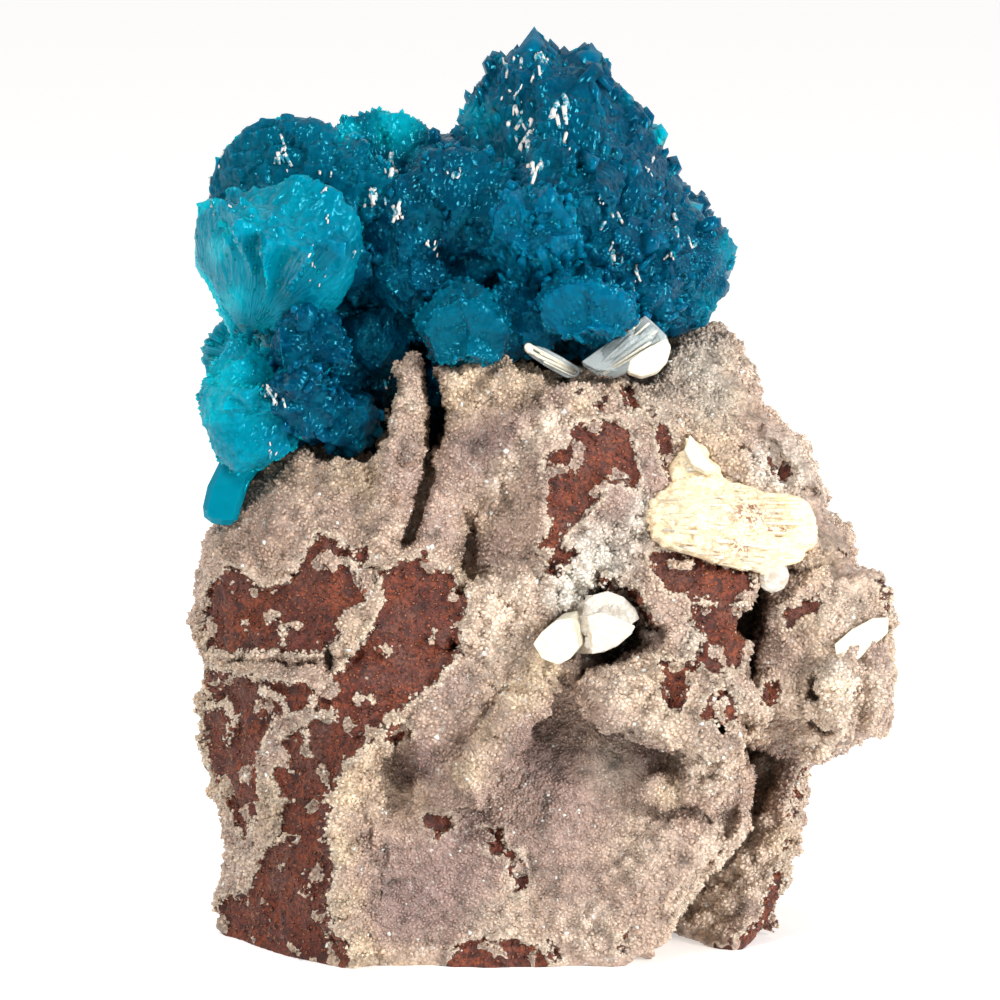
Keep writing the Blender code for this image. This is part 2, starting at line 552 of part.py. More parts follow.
def rock_relief(point):
    """How far the broken rock stands out or sinks in at a point: lumps a few mm across.

    Behind, where the rock is one rough break, wide swells join them.
    """
    behind = min(1.0, max(0.0, (point.y - BACK_STARTS) / (BACK_FULL - BACK_STARTS)))
    swell = noise.noise(point / BACK_SWELL[0] + Vector((2, 5, 4))) * BACK_SWELL[1]
    ridge = (0.5 - abs(noise.noise(point / BACK_RIDGE[0] + Vector((1, 8, 6))))) * BACK_RIDGE[1]
    coarse = noise.noise(point / COARSE_LUMP[0]) * COARSE_LUMP[1]
    fine = noise.noise(point / FINE_LUMP[0] + Vector((7, 3, 1))) * FINE_LUMP[1]
    return behind * (swell + ridge) + coarse + fine


def pushed_out(body, distance_at):
    """Moves each vertex along its normal by the distance for its place."""
    moved = [v.co + v.normal * distance_at(v.co) for v in body.data.vertices]
    body.data.vertices.foreach_set("co", [part for place in moved for part in place])
    body.data.update()


def swollen(body, distance):
    """A hidden copy of the body whose surface stands out by the distance."""
    copy = body.copy()
    copy.data = body.data.copy()
    copy.name = f"{body.name}_swollen"
    copy.hide_render = True
    copy.display_type = "WIRE"
    bpy.context.scene.collection.objects.link(copy)
    pushed_out(copy, lambda place: distance)
    remeshed(copy, ROCK_VOXEL)
    return copy


def make_rock():
    chunks = [hull(f"chunk_{name}", corners) for name, corners in ROCK_CHUNKS.items()]
    chunks += [ball(f"lump_{i}", *lump) for i, lump in enumerate(ROCK_LUMPS)]
    cuts = [hull(f"cut_{name}", corners) for name, corners in ROCK_CUTS.items()]
    rock = chunks[0]
    combine(rock, "UNION", chunks[1:])
    combine(rock, "DIFFERENCE", cuts)
    remeshed(rock, ROCK_VOXEL)
    smoothed(rock, *ROCK_SOFTENING)
    pushed_out(rock, rock_relief)
    remeshed(rock, ROCK_VOXEL)
    largest_body(rock)
    rock.name = "matrix"
    rock.hide_render = False
    rock.display_type = "TEXTURED"
    seat = swollen(rock, CRYSTAL_GAP + THINNING_SLACK)
    thinned(rock, ROCK_TRIANGLES)
    thinned(seat, SEAT_TRIANGLES)
    return rock, seat


def base_cutter():
    """A block below the resting plane."""
    bm = bmesh.new()
    below = Matrix.Translation((0, 0, -CUTTER_SIZE / 2))
    bmesh.ops.create_cube(bm, size=CUTTER_SIZE, matrix=below)
    return new_object("base_cutter", bm, hidden=True)


def spray(name, root, reach, across, deep, grain, dice):
    """A cone of crystals from one root: a round cap whose faces are each drawn out to a point."""
    root, reach = at(*root), at(*reach)
    axis = (reach - root).normalized()
    length = (reach - root).length
    view = at(CENTRE_PX, CENTRE_PX, 1) - at(CENTRE_PX, CENTRE_PX, 0)
    side = axis.cross(view)
    if side.length < NEARLY_ALONG * view.length:
        side = axis.cross(Vector((0, 0, 1)))
    side.normalize()
    depthwise = side.cross(axis)
    bm = bmesh.new()
    bmesh.ops.create_icosphere(bm, subdivisions=SPRAY_GRAIN[grain], radius=1)
    turned = Matrix.Rotation(dice.uniform(0, math.tau), 3, "Z")
    bmesh.ops.rotate(bm, verts=bm.verts, matrix=turned)
    outside = [f for f in bm.faces if f.calc_center_median().z < math.cos(CAP_HALF_ANGLE)]
    bmesh.ops.delete(bm, geom=outside, context="FACES")
    border = [edge for edge in bm.edges if edge.is_boundary]
    cap = list(bm.faces)
    middle = bm.verts.new((0, 0, 0))
    for edge in border:
        bm.faces.new((*edge.verts, middle))
    points = bmesh.ops.poke(bm, faces=cap)["verts"]
    for vertex in bm.verts:
        if vertex is middle:
            continue
        tall = length if vertex in points else length - POINT_HEIGHT
        tall -= dice.uniform(0, POINT_SPREAD) * POINT_HEIGHT
        polar = math.acos(max(-1, min(1, vertex.co.z / vertex.co.length)))
        turn = math.atan2(vertex.co.y, vertex.co.x)
        share = polar / CAP_HALF_ANGLE
        sideways = share * math.radians(across) * math.cos(turn)
        inward = share * math.radians(deep) * math.sin(turn)
        away = axis + side * math.tan(sideways) + depthwise * math.tan(inward)
        vertex.co = away.normalized() * tall
    for vertex in bm.verts:
        vertex.co += root
    return new_object(name, bm, hidden=True)


def make_cavansite():
    dice = random.Random(7)
    parts = [hull(f"core_{i}", corners) for i, corners in enumerate(BLUE_CORES)]
    parts.append(hull("blade", BLUE_BLADE))
    for i, form in enumerate(SPRAYS):
        parts.append(spray(f"spray_{i:02d}", *form, dice))
    cluster = parts[0]
    combine(cluster, "UNION", parts[1:])
    cluster.name = "cavansite"
    cluster.hide_render = False
    cluster.display_type = "TEXTURED"
    return cluster


def make_stilbites():
    made = []
    for name, blocks in STILBITES.items():
        body = hull(name, blocks[0], hidden=False)
        if len(blocks) > 1:
            combine(body, "UNION", [hull(f"{name}_{i}", b) for i, b in enumerate(blocks[1:])])
        made.append(body)
    return made


def make_rooms():
    """Hidden cutters of the stilbites' form, a little larger, for their sockets."""
    return [
        hull(f"{name}_room_{i}", block, margin=SOCKET_GAP)
        for name, blocks in STILBITES.items()
        for i, block in enumerate(blocks)
    ]


def main():
    for leftover in list(bpy.data.objects):
        bpy.data.objects.remove(leftover)
    rock, seat = make_rock()
    cluster = make_cavansite()
    stilbites = make_stilbites()
    rooms = make_rooms()
    combine(rock, "DIFFERENCE", [base_cutter(), *rooms])
    largest_body(rock)
    combine(cluster, "DIFFERENCE", [seat, *rooms])
    largest_body(cluster)

    rock.data.materials.append(material("crusted_basalt", *CRUSTED_BASALT))
    cluster.data.materials.append(material("cavansite_blue", *CAVANSITE_BLUE))
    pale = material("stilbite_white", *STILBITE_WHITE)
    for body in stilbites:
        body.data.materials.append(pale)


main()
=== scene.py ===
"""Looks of the cavansite specimen: a crusted rock, sprays of blue crystals and pale stilbites."""
import math

import bpy
import numpy as np
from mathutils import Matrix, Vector, noise
from mathutils.bvhtree import BVHTree


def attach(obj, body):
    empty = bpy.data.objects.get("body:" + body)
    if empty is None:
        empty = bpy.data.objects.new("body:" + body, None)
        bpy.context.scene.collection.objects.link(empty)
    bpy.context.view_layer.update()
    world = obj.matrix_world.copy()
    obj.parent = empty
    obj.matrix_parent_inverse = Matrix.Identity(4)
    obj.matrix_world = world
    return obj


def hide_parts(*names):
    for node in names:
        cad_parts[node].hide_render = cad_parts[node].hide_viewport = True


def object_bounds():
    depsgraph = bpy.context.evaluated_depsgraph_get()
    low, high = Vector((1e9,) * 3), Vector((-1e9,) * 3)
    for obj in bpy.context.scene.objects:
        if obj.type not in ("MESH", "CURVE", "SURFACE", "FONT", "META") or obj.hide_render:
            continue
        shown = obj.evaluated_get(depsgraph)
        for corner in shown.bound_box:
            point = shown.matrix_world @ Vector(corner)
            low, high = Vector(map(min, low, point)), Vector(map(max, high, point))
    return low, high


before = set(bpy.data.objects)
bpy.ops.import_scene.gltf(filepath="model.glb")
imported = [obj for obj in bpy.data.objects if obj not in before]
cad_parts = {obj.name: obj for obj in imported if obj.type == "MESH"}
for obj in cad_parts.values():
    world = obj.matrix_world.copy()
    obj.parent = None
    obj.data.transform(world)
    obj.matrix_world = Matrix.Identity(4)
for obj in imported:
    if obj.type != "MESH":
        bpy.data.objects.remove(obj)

MM = 0.001
cad_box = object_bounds()

# The photograph's view, which places every point given as (px, py, depth in mm).
# Depth runs away from the lens, from the plane through the specimen's middle.
SEEN_HEIGHT = 66.0 * MM
TOP_PX = 27
BOTTOM_PX = 968
CENTRE_PX = 500
FRAME_PX = 1000
PIXEL = SEEN_HEIGHT / (BOTTOM_PX - TOP_PX)
VIEW_DISTANCE = 450 * MM
VIEW_TILT = math.radians(8)
MIDDLE = (3.1 * MM, 0.6 * MM)
BASE_CUT = -29.9 * MM
TO_LENS = Vector((0, -math.cos(VIEW_TILT), math.sin(VIEW_TILT)))
LENS_WAY = np.array(TO_LENS)
PIECE_TRIANGLES = 190000  # the rock is thinned and the grains and small crystals are split to stay within this many triangles a piece

# Outlines of the bare red-brown rock between the crust, as the photograph shows them.
BARE_PATCHES = {
    "upper_left": [
        (318, 535), (345, 545), (366, 548), (378, 570), (372, 600), (352, 622), (335, 640),
        (318, 652), (296, 654), (262, 650), (232, 652), (207, 648), (204, 622), (209, 585),
        (222, 568), (242, 568), (254, 582), (272, 592), (290, 580), (302, 562),
    ],
    "middle": [
        (400, 560), (424, 556), (446, 572), (466, 590), (464, 612), (461, 642), (448, 664),
        (430, 688), (405, 705), (382, 720), (374, 742), (352, 756), (340, 768), (334, 792),
        (312, 768), (306, 728), (318, 700), (338, 676), (356, 650), (372, 628), (384, 604),
        (380, 574),
    ],
    "left_side": [
        (205, 668), (232, 672), (262, 680), (300, 684), (316, 690), (304, 708), (276, 716),
        (262, 742), (256, 770), (258, 806), (246, 836), (228, 806), (210, 770), (200, 720),
    ],
    "left_inner": [
        (280, 738), (304, 730), (310, 760), (330, 790), (318, 800), (288, 798), (274, 776),
    ],
    "foot": [
        (286, 802), (330, 794), (325, 830), (334, 872), (326, 900), (332, 930), (350, 952),
        (344, 980), (210, 950), (214, 925), (222, 900), (252, 886), (264, 852), (280, 832),
    ],
    "red_face": [
        (545, 456), (568, 450), (574, 432), (586, 420), (622, 422), (634, 450), (638, 492),
        (622, 482), (606, 478), (597, 502), (578, 522), (562, 534), (560, 546), (575, 552),
        (556, 578), (546, 572), (554, 554), (540, 546), (552, 520), (545, 492),
    ],
    "red_sliver": [(652, 415), (666, 424), (672, 442), (676, 482), (670, 484), (658, 452)],
    "streak": [
        (598, 576), (620, 580), (638, 590), (648, 608), (660, 630), (652, 632), (636, 608),
        (606, 592),
    ],
    "mottled_top": [
        (648, 556), (676, 552), (712, 562), (752, 572), (754, 592), (728, 604), (700, 600),
        (664, 590),
    ],
    "mottled_middle": [
        (698, 604), (744, 608), (746, 640), (738, 668), (712, 674), (694, 662), (704, 636),
        (690, 620),
    ],
    "ledge": [(660, 660), (700, 664), (690, 686), (680, 708), (668, 708), (662, 690)],
    "ringed_chip": [(706, 700), (724, 688), (738, 702), (734, 720), (712, 726), (702, 716)],
    "small_chip": [(760, 690), (774, 684), (782, 694), (774, 706), (764, 708)],
    "bowl_rim_chip": [(386, 730), (404, 722), (410, 732), (394, 744), (384, 740)],
    "bowl_chip_left": [(420, 812), (450, 814), (454, 826), (434, 838), (424, 830)],
    "bowl_chip_upper": [(484, 828), (500, 830), (506, 848), (492, 856), (484, 844)],
    "bowl_chip_lower": [(506, 850), (518, 852), (526, 888), (516, 894), (512, 872)],
    "bottom_strip": [
        (440, 966), (465, 942), (486, 937), (516, 940), (538, 948), (556, 966), (500, 980),
    ],
    "bottom_chip": [(548, 940), (562, 944), (566, 960), (552, 962)],
    "bottom_sliver": [(632, 930), (628, 940), (626, 956), (620, 952), (622, 938)],
    "knob_patch": [
        (786, 610), (800, 604), (812, 592), (820, 598), (818, 614), (800, 622), (788, 630),
    ],
    "knob_edge": [(878, 580), (886, 584), (892, 612), (884, 612), (882, 596)],
    "leaf_pit": [(768, 445), (780, 455), (788, 472), (784, 484), (776, 482), (770, 462)],
    "slab_edge": [
        (803, 765), (806, 772), (800, 800), (794, 836), (786, 860), (780, 900), (776, 925),
        (750, 950), (720, 956), (716, 946), (740, 938), (758, 918), (764, 898), (772, 880),
        (784, 850), (790, 815), (796, 785),
    ],
    "slab_spot": [(676, 938), (692, 940), (690, 950), (676, 946)],
    "face_spot_left": [(576, 392), (586, 384), (590, 388), (580, 396)],
    "face_spot_right": [(622, 390), (630, 384), (634, 398), (640, 408), (630, 412)],
    "face_spot_top": [(596, 402), (606, 398), (608, 406), (598, 408)],
}

# Pale veins that run over the bare rock: points along each and its width in pixels.
CRUST_VEINS = [
    ([
        (196, 660), (230, 664), (270, 672), (300, 670), (328, 662), (344, 646), (360, 626), (364, 604),
    ], 9),
    ([
        (330, 716), (306, 716), (282, 724), (270, 744), (262, 772), (264, 800), (258, 836), (226, 886),
    ], 10),
    ([(352, 548), (350, 562), (358, 574), (368, 562)], 5),
    ([(208, 706), (226, 704), (236, 720), (228, 738)], 7),
    ([(262, 690), (282, 700), (286, 712)], 7),
    ([(268, 620), (286, 628), (282, 644)], 6),
]

# Broad tints of the crust, as colours of its surface; the darkest one is painted shade for the
# crevices.
CRUST_SAND = (0.405, 0.285, 0.215)
CRUST_TINTS = {
    "cream": (0.61, 0.455, 0.30),
    "pale": (0.72, 0.57, 0.44),
    "pink": (0.42, 0.29, 0.225),
    "mauve": (0.24, 0.155, 0.135),
    "grey": (0.38, 0.33, 0.27),
    "crevice_shade": (0.11, 0.070, 0.058),
    "white": (0.84, 0.80, 0.70),
    "brown": (0.28, 0.165, 0.105),
}
# Where each tint lies: px, py, radius in pixels, strength. The darkest spots are painted shade in the
# crevices and the slot, and so are the mauve ones under the ledge and in the bowl's hollows. The pale
# and white ones at the right, on the slab, the plate and the knob are partly the crust's own colour and
# partly painted light.
TINT_SPOTS = [
    ("cream", 470, 392, 34, 0.8), ("cream", 520, 384, 26, 0.6), ("cream", 300, 478, 34, 0.45),
    ("cream", 350, 480, 26, 0.4), ("pink", 300, 520, 50, 0.5), ("mauve", 345, 515, 26, 0.5),
    ("brown", 250, 545, 34, 0.35), ("mauve", 478, 448, 34, 0.75), ("mauve", 505, 430, 22, 0.5),
    ("mauve", 440, 530, 24, 0.5), ("crevice_shade", 470, 548, 20, 0.6), ("mauve", 495, 555, 24, 0.7),
    ("pale", 552, 424, 16, 0.9), ("pale", 530, 440, 14, 0.9), ("pale", 510, 464, 14, 0.8),
    ("pale", 496, 486, 12, 0.7), ("cream", 580, 406, 18, 0.6), ("pink", 520, 520, 26, 0.5),
    ("grey", 700, 360, 34, 0.9), ("grey", 715, 400, 26, 0.8), ("grey", 660, 400, 30, 0.5),
    ("pale", 745, 370, 14, 0.5), ("white", 600, 560, 34, 0.6), ("white", 570, 590, 26, 0.7),
    ("white", 648, 520, 26, 0.5), ("pink", 790, 450, 30, 0.5), ("pink", 815, 500, 24, 0.5),
    ("cream", 820, 560, 22, 0.5), ("pale", 505, 600, 34, 0.55), ("pale", 500, 640, 34, 0.5),
    ("mauve", 450, 690, 20, 0.5), ("cream", 545, 668, 22, 0.9), ("cream", 520, 700, 22, 0.9),
    ("cream", 496, 740, 22, 0.9), ("cream", 472, 772, 20, 0.9), ("pink", 440, 790, 18, 0.7),
    ("mauve", 420, 760, 26, 0.9), ("crevice_shade", 404, 770, 16, 0.25), ("cream", 345, 790, 16, 0.8),
    ("cream", 340, 850, 18, 0.8), ("cream", 344, 900, 18, 0.7), ("cream", 356, 955, 20, 0.7),
    ("mauve", 430, 880, 60, 0.75), ("mauve", 530, 750, 44, 0.85), ("mauve", 560, 820, 60, 0.7),
    ("mauve", 480, 830, 50, 0.6), ("mauve", 400, 920, 30, 0.8), ("grey", 620, 760, 34, 0.5),
    ("pink", 600, 860, 50, 0.5), ("pale", 640, 850, 34, 0.4), ("pale", 590, 930, 30, 0.5),
    ("pale", 500, 925, 30, 0.4), ("cream", 668, 792, 16, 0.8), ("pink", 700, 840, 34, 0.5),
    ("pale", 620, 690, 24, 0.5), ("pale", 722, 705, 26, 0.5), ("pale", 660, 725, 24, 0.5),
    ("mauve", 650, 755, 18, 0.8), ("grey", 740, 700, 14, 0.5), ("white", 835, 680, 20, 0.5),
    ("cream", 832, 690, 16, 0.9), ("mauve", 790, 660, 26, 0.5), ("pink", 800, 720, 34, 0.5),
    ("pale", 868, 690, 26, 0.6), ("pink", 850, 735, 22, 0.5), ("brown", 762, 790, 20, 0.6),
    ("pale", 735, 865, 44, 0.6), ("pale", 700, 918, 30, 0.7), ("pale", 706, 768, 24, 0.8),
    ("white", 780, 470, 30, 0.5), ("pale", 800, 480, 40, 0.5), ("pale", 820, 715, 44, 0.5),
    ("pale", 848, 600, 26, 0.4), ("pink", 490, 395, 30, 0.3), ("cream", 780, 840, 14, 0.5),
    ("brown", 404, 460, 10, 0.6), ("brown", 398, 500, 12, 0.6), ("pale", 408, 400, 10, 0.5),
    ("pink", 386, 530, 12, 0.5), ("white", 700, 640, 18, 0.3), ("pale", 838, 622, 22, 0.4),
    ("cream", 200, 640, 12, 0.5), ("pale", 240, 860, 16, 0.4), ("mauve", 555, 775, 30, 0.5),
    ("crevice_shade", 362, 838, 8, 0.6), ("crevice_shade", 620, 655, 18, 0.7),
]


def at(px, py, depth):
    """The point, in metres, that the photograph shows at a pixel and at a depth in mm."""
    away = depth * MM
    span = PIXEL * (1 + away / VIEW_DISTANCE)
    right = (px - CENTRE_PX) * span
    up = (CENTRE_PX - py) * span
    lean, rise = math.sin(VIEW_TILT), math.cos(VIEW_TILT)
    return Vector((
        right - MIDDLE[0],
        away * rise + up * lean - MIDDLE[1],
        up * rise - away * lean - BASE_CUT,
    ))


LENS_PLACE = at(CENTRE_PX, CENTRE_PX, 0) + TO_LENS * VIEW_DISTANCE


def seen_at(points):
    """Where the photograph shows points: arrays of px, py and depth in mm."""
    lean, rise = math.sin(VIEW_TILT), math.cos(VIEW_TILT)
    right = points[:, 0] + MIDDLE[0]
    back = points[:, 1] + MIDDLE[1]
    high = points[:, 2] + BASE_CUT
    away = back * rise - high * lean
    up = back * lean + high * rise
    span = PIXEL * (1 + away / VIEW_DISTANCE)
    return CENTRE_PX + right / span, CENTRE_PX - up / span, away / MM


def smooth_step(low, high, value):
    share = np.clip((value - low) / (high - low), 0, 1)
    return share * share * (3 - 2 * share)


def noise_at(points, width, shift=0.0):
    """Smooth noise from about -1 to 1 whose lumps are about this wide."""
    offset = Vector((shift, 1.7 * shift, 2.3 * shift))
    return np.array([noise.noise(Vector(p) / width + offset) for p in points])


def cells_at(points, width, shift=0.0):
    """Distance to the nearest of scattered centres, in cells of about this width."""
    offset = Vector((shift, 1.7 * shift, 2.3 * shift))
    return np.array([noise.voronoi(Vector(p) / width + offset)[0][0] for p in points])


def select_only(*pieces):
    """Selects these pieces and makes the first of them the active one."""
    bpy.ops.object.select_all(action="DESELECT")
    for piece in pieces:
        piece.select_set(True)
    bpy.context.view_layer.objects.active = pieces[0]


def apply_modifier(piece, kind, **settings):
    """Adds a modifier with these settings and applies it."""
    select_only(piece)
    modifier = piece.modifiers.new(kind.title(), kind)
    for name, value in settings.items():
        setattr(modifier, name, value)
    bpy.ops.object.modifier_apply(modifier=modifier.name)


def face_outwards(piece, merged_within=0.0):
    """Turns the faces of a closed form outwards, after merging its corners where asked."""
    select_only(piece)
    bpy.ops.object.mode_set(mode="EDIT")
    bpy.ops.mesh.select_all(action="SELECT")
    if merged_within:
        bpy.ops.mesh.remove_doubles(threshold=merged_within)
    bpy.ops.mesh.normals_make_consistent(inside=False)
    bpy.ops.object.mode_set(mode="OBJECT")


def copy_of_node(node, name):
    """A piece of its own in the form of a CAD node, with the loose triangles merged."""
    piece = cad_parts[node].copy()
    piece.data = piece.data.copy()
    piece.name = piece.data.name = name
    piece.parent = None
    piece.hide_render = piece.hide_viewport = False
    for tag in list(piece.keys()):
        del piece[tag]
    bpy.context.scene.collection.objects.link(piece)
    piece.data.materials.clear()
    face_outwards(piece, merged_within=0.01 * MM)
    return piece


def vertices_of(piece):
    found = np.zeros(len(piece.data.vertices) * 3, np.float32)
    piece.data.vertices.foreach_get("co", found)
    return found.reshape(-1, 3).astype(float)


def normals_of(piece):
    found = np.zeros(len(piece.data.vertices) * 3, np.float32)
    piece.data.vertex_normals.foreach_get("vector", found)
    return found.reshape(-1, 3).astype(float)


def move_vertices(piece, places):
    piece.data.vertices.foreach_set("co", places.astype(np.float32).ravel())
    piece.data.update()


def give_value(piece, name, values):
    """Stores one number for each vertex, which a material reads by its name."""
    stored = piece.data.attributes.new(name, "FLOAT", "POINT")
    stored.data.foreach_set("value", values.astype(np.float32))


def give_colour(piece, name, colours):
    stored = piece.data.attributes.new(name, "FLOAT_COLOR", "POINT")
    whole = np.ones((len(colours), 4), np.float32)
    whole[:, :3] = colours
    stored.data.foreach_set("color", whole.ravel())


def give_growth(piece, places):
    """Stores each vertex's place within its spray, in mm, for the fibres in a material."""
    stored = piece.data.attributes.new("grown", "FLOAT_VECTOR", "POINT")
    stored.data.foreach_set("vector", (places / MM).astype(np.float32).ravel())


def tree_of(piece):
    mesh = piece.data
    return BVHTree.FromPolygons(
        [v.co for v in mesh.vertices], [tuple(p.vertices) for p in mesh.polygons]
    )


def depth_inside(tree, point):
    """How deep a point lies inside a closed form, in metres, and below zero outside it."""
    near, normal, _, distance = tree.find_nearest(point)
    return distance if (point - near).dot(normal) < 0 else -distance


def inside_outline(px, py, outline):
    """Distance to an outline in pixels, above zero inside it."""
    nearest = np.full(len(px), 1e9)
    inside = np.zeros(len(px), bool)
    for (x0, y0), (x1, y1) in zip(outline, outline[1:] + outline[:1]):
        along_x, along_y = x1 - x0, y1 - y0
        share = ((px - x0) * along_x + (py - y0) * along_y) / (along_x**2 + along_y**2)
        share = np.clip(share, 0, 1)
        gap = np.hypot(px - x0 - share * along_x, py - y0 - share * along_y)
        nearest = np.minimum(nearest, gap)
        if y0 != y1:
            crosses = ((y0 > py) != (y1 > py)) & (px < along_x * (py - y0) / along_y + x0)
            inside ^= crosses
    return np.where(inside, nearest, -nearest)


def distance_to_line(px, py, line):
    """Distance in pixels to a line of straight stretches."""
    nearest = np.full(len(px), 1e9)
    for (x0, y0), (x1, y1) in zip(line, line[1:]):
        along_x, along_y = x1 - x0, y1 - y0
        share = ((px - x0) * along_x + (py - y0) * along_y) / (along_x**2 + along_y**2)
        share = np.clip(share, 0, 1)
        nearest = np.minimum(nearest, np.hypot(px - x0 - share * along_x, py - y0 - share * along_y))
    return nearest


DOME_RADIUS = 0.75  # in cells
DOME_FLOOR = 0.6
# The crust's lumps and its larger knobs: width and shift. Its tint has painted shade between the same
# ones and is lighter on their tops.
LUMPS = (0.95 * MM, 2.2)
KNOBS = (1.7 * MM, 8.2)


def domes_at(points, width, shift):
    """Rounded lumps of about this width, from -0.6 between them to 0.4 on top."""
    away = cells_at(points, width, shift) / DOME_RADIUS
    return np.sqrt(np.maximum(0, 1 - away**2)) - DOME_FLOOR


FARTHEST_INSIDE = 3  # mm from an outline's edge at which counting stops
ISLAND_REACH = 2.0  # mm from an edge within which islands of crust stand in the bare rock
ISLAND_WIDTH = 1.4 * MM


def bare_rock_at(points):
    """How far inside a patch of bare rock each point lies, in mm, and below zero under the crust.

    The side that the photograph shows follows its outlines. Behind, noise says where the crust is.
    """
    px, py, depth = seen_at(points)
    wander = 0.4 + np.clip((depth + 4) / 6, 0, 3)
    px = px + 5 * wander * noise_at(points, 1.3 * MM, 3.1) + 2.5 * noise_at(points, 0.5 * MM, 8.2)
    py = py + 5 * wander * noise_at(points, 1.3 * MM, 5.7) + 2.5 * noise_at(points, 0.5 * MM, 6.4)
    front = np.full(len(points), -1e9)
    for outline in BARE_PATCHES.values():
        front = np.maximum(front, inside_outline(px, py, outline))
    for line, width in CRUST_VEINS:
        front = np.minimum(front, distance_to_line(px, py, line) - width / 2)
    front = np.clip(front * PIXEL / MM, -FARTHEST_INSIDE, FARTHEST_INSIDE)
    front += 0.36 * noise_at(points, 0.8 * MM, 5.1) + 0.24 * noise_at(points, 0.35 * MM, 6.9)
    front -= ISLAND_REACH * smooth_step(0.26, 0.52, noise_at(points, ISLAND_WIDTH, 6.1))
    behind = 3.2 * noise_at(points, 8 * MM, 1.3) + 1.3 * noise_at(points, 3 * MM, 2.9) + 0.35
    behind += 0.9 * noise_at(points, 1.1 * MM, 4.4) + 0.5 * noise_at(points, 0.5 * MM, 9.4) - 0.3
    share = smooth_step(0.5, 4.5, depth + 1.2 * noise_at(points, 3 * MM, 7.7))
    return front * (1 - share) + behind * share


def with_spots(colour, px, py, shown, spots, tints):
    """Colours with soft round spots of other tints: tint, px, py, radius in pixels, strength."""
    for tint, x, y, radius, strength in spots:
        near = np.exp(-(((px - x) ** 2 + (py - y) ** 2) / radius**2) ** 1.5)
        colour = colour + (strength * shown * near)[:, None] * (np.array(tints[tint]) - colour)
    return colour


def crust_tint_at(points):
    """The crust's colour at each point, with painted shade between its lumps and lighter tops."""
    px, py, depth = seen_at(points)
    px = px + 8 * noise_at(points, 1.6 * MM, 9.1)
    py = py + 8 * noise_at(points, 1.6 * MM, 3.9)
    colour = np.tile(CRUST_SAND, (len(points), 1))
    broad = noise_at(points, 6 * MM, 5.5)
    mottle_and_shade = 1 + 0.26 * noise_at(points, 2.2 * MM, 2.7) + 0.16 * noise_at(points, 0.9 * MM, 7.9)
    # Painted shade between the lumps and knobs, and lighter tops.
    mottle_and_shade += 0.50 * domes_at(points, *LUMPS) + 0.30 * domes_at(points, *KNOBS) + 0.04
    for tint, side in (("mauve", 0.9), ("cream", -0.9)):
        amount = np.clip(side * broad, 0, 0.6)
        colour = colour + amount[:, None] * (np.array(CRUST_TINTS[tint]) - colour)
    shown = 1 - smooth_step(1, 5, depth)
    colour = with_spots(colour, px, py, shown, TINT_SPOTS, CRUST_TINTS)
    return colour * mottle_and_shade[:, None]


def set_or_link(material, socket, value):
    """Sets a node's input to a value, or links it where it is given another node's output."""
    if isinstance(value, bpy.types.NodeSocket):
        material.node_tree.links.new(value, socket)
    else:
        socket.default_value = value


def add_node(material, kind, **inputs):
    """A node of this kind with its inputs set or linked by their names."""
    made = material.node_tree.nodes.new(kind)
    for name, value in inputs.items():
        set_or_link(material, made.inputs[name], value)
    return made


def math_node(material, operation, first, second=0.0):
    made = material.node_tree.nodes.new("ShaderNodeMath")
    made.operation = operation
    set_or_link(material, made.inputs[0], first)
    set_or_link(material, made.inputs[1], second)
    return made.outputs[0]


def range_node(material, value, low, high, to_low=0.0, to_high=1.0):
    """Maps a value smoothly from one range to another."""
    made = material.node_tree.nodes.new("ShaderNodeMapRange")
    made.interpolation_type = "SMOOTHSTEP"
    set_or_link(material, made.inputs["Value"], value)
    for name, number in zip(("From Min", "From Max", "To Min", "To Max"), (low, high, to_low, to_high)):
        made.inputs[name].default_value = number
    return made.outputs[0]


def mix_colours(material, share, first, second, blend="MIX"):
    made = material.node_tree.nodes.new("ShaderNodeMix")
    made.data_type = "RGBA"
    made.blend_type = blend
    for name, value in (("Factor_Float", share), ("A_Color", first), ("B_Color", second)):
        socket = next(s for s in made.inputs if s.identifier == name)
        if isinstance(value, tuple) and len(value) == 3:
            value = (*value, 1)
        set_or_link(material, socket, value)
    return next(s for s in made.outputs if s.identifier == "Result_Color")


def stored_value(material, name, output="Fac"):
    made = material.node_tree.nodes.new("ShaderNodeAttribute")
    made.attribute_name = name
    return made.outputs[output]


def place_of(material):
    return material.node_tree.nodes.new("ShaderNodeTexCoord").outputs["Object"]


def noise_node(material, width, detail=3.0, roughness=0.55):
    """Noise from 0 to 1 whose lumps are about this wide."""
    return add_node(
        material, "ShaderNodeTexNoise",
        Vector=place_of(material), Scale=1 / width, Detail=detail, Roughness=roughness,
    ).outputs["Fac"]


def cell_node(material, width, output="Distance"):
    return add_node(
        material, "ShaderNodeTexVoronoi", Vector=place_of(material), Scale=1 / width
    ).outputs[output]


def bump_node(material, height, depth, strength=1.0, normal=None):
    made = add_node(material, "ShaderNodeBump", Height=height, Distance=depth, Strength=strength)
    if normal is not None:
        material.node_tree.links.new(normal, made.inputs["Normal"])
    return made.outputs["Normal"]


def new_material(name, **settings):
    """A Principled material with these values on the shader's own sockets."""
    made = bpy.data.materials.new(name)
    made.use_nodes = True
    shader = made.node_tree.nodes["Principled BSDF"]
    for key, value in settings.items():
        shader.inputs[key.replace("_", " ")].default_value = value
    return made, shader


def link(material, value, shader, socket):
    material.node_tree.links.new(value, shader.inputs[socket])


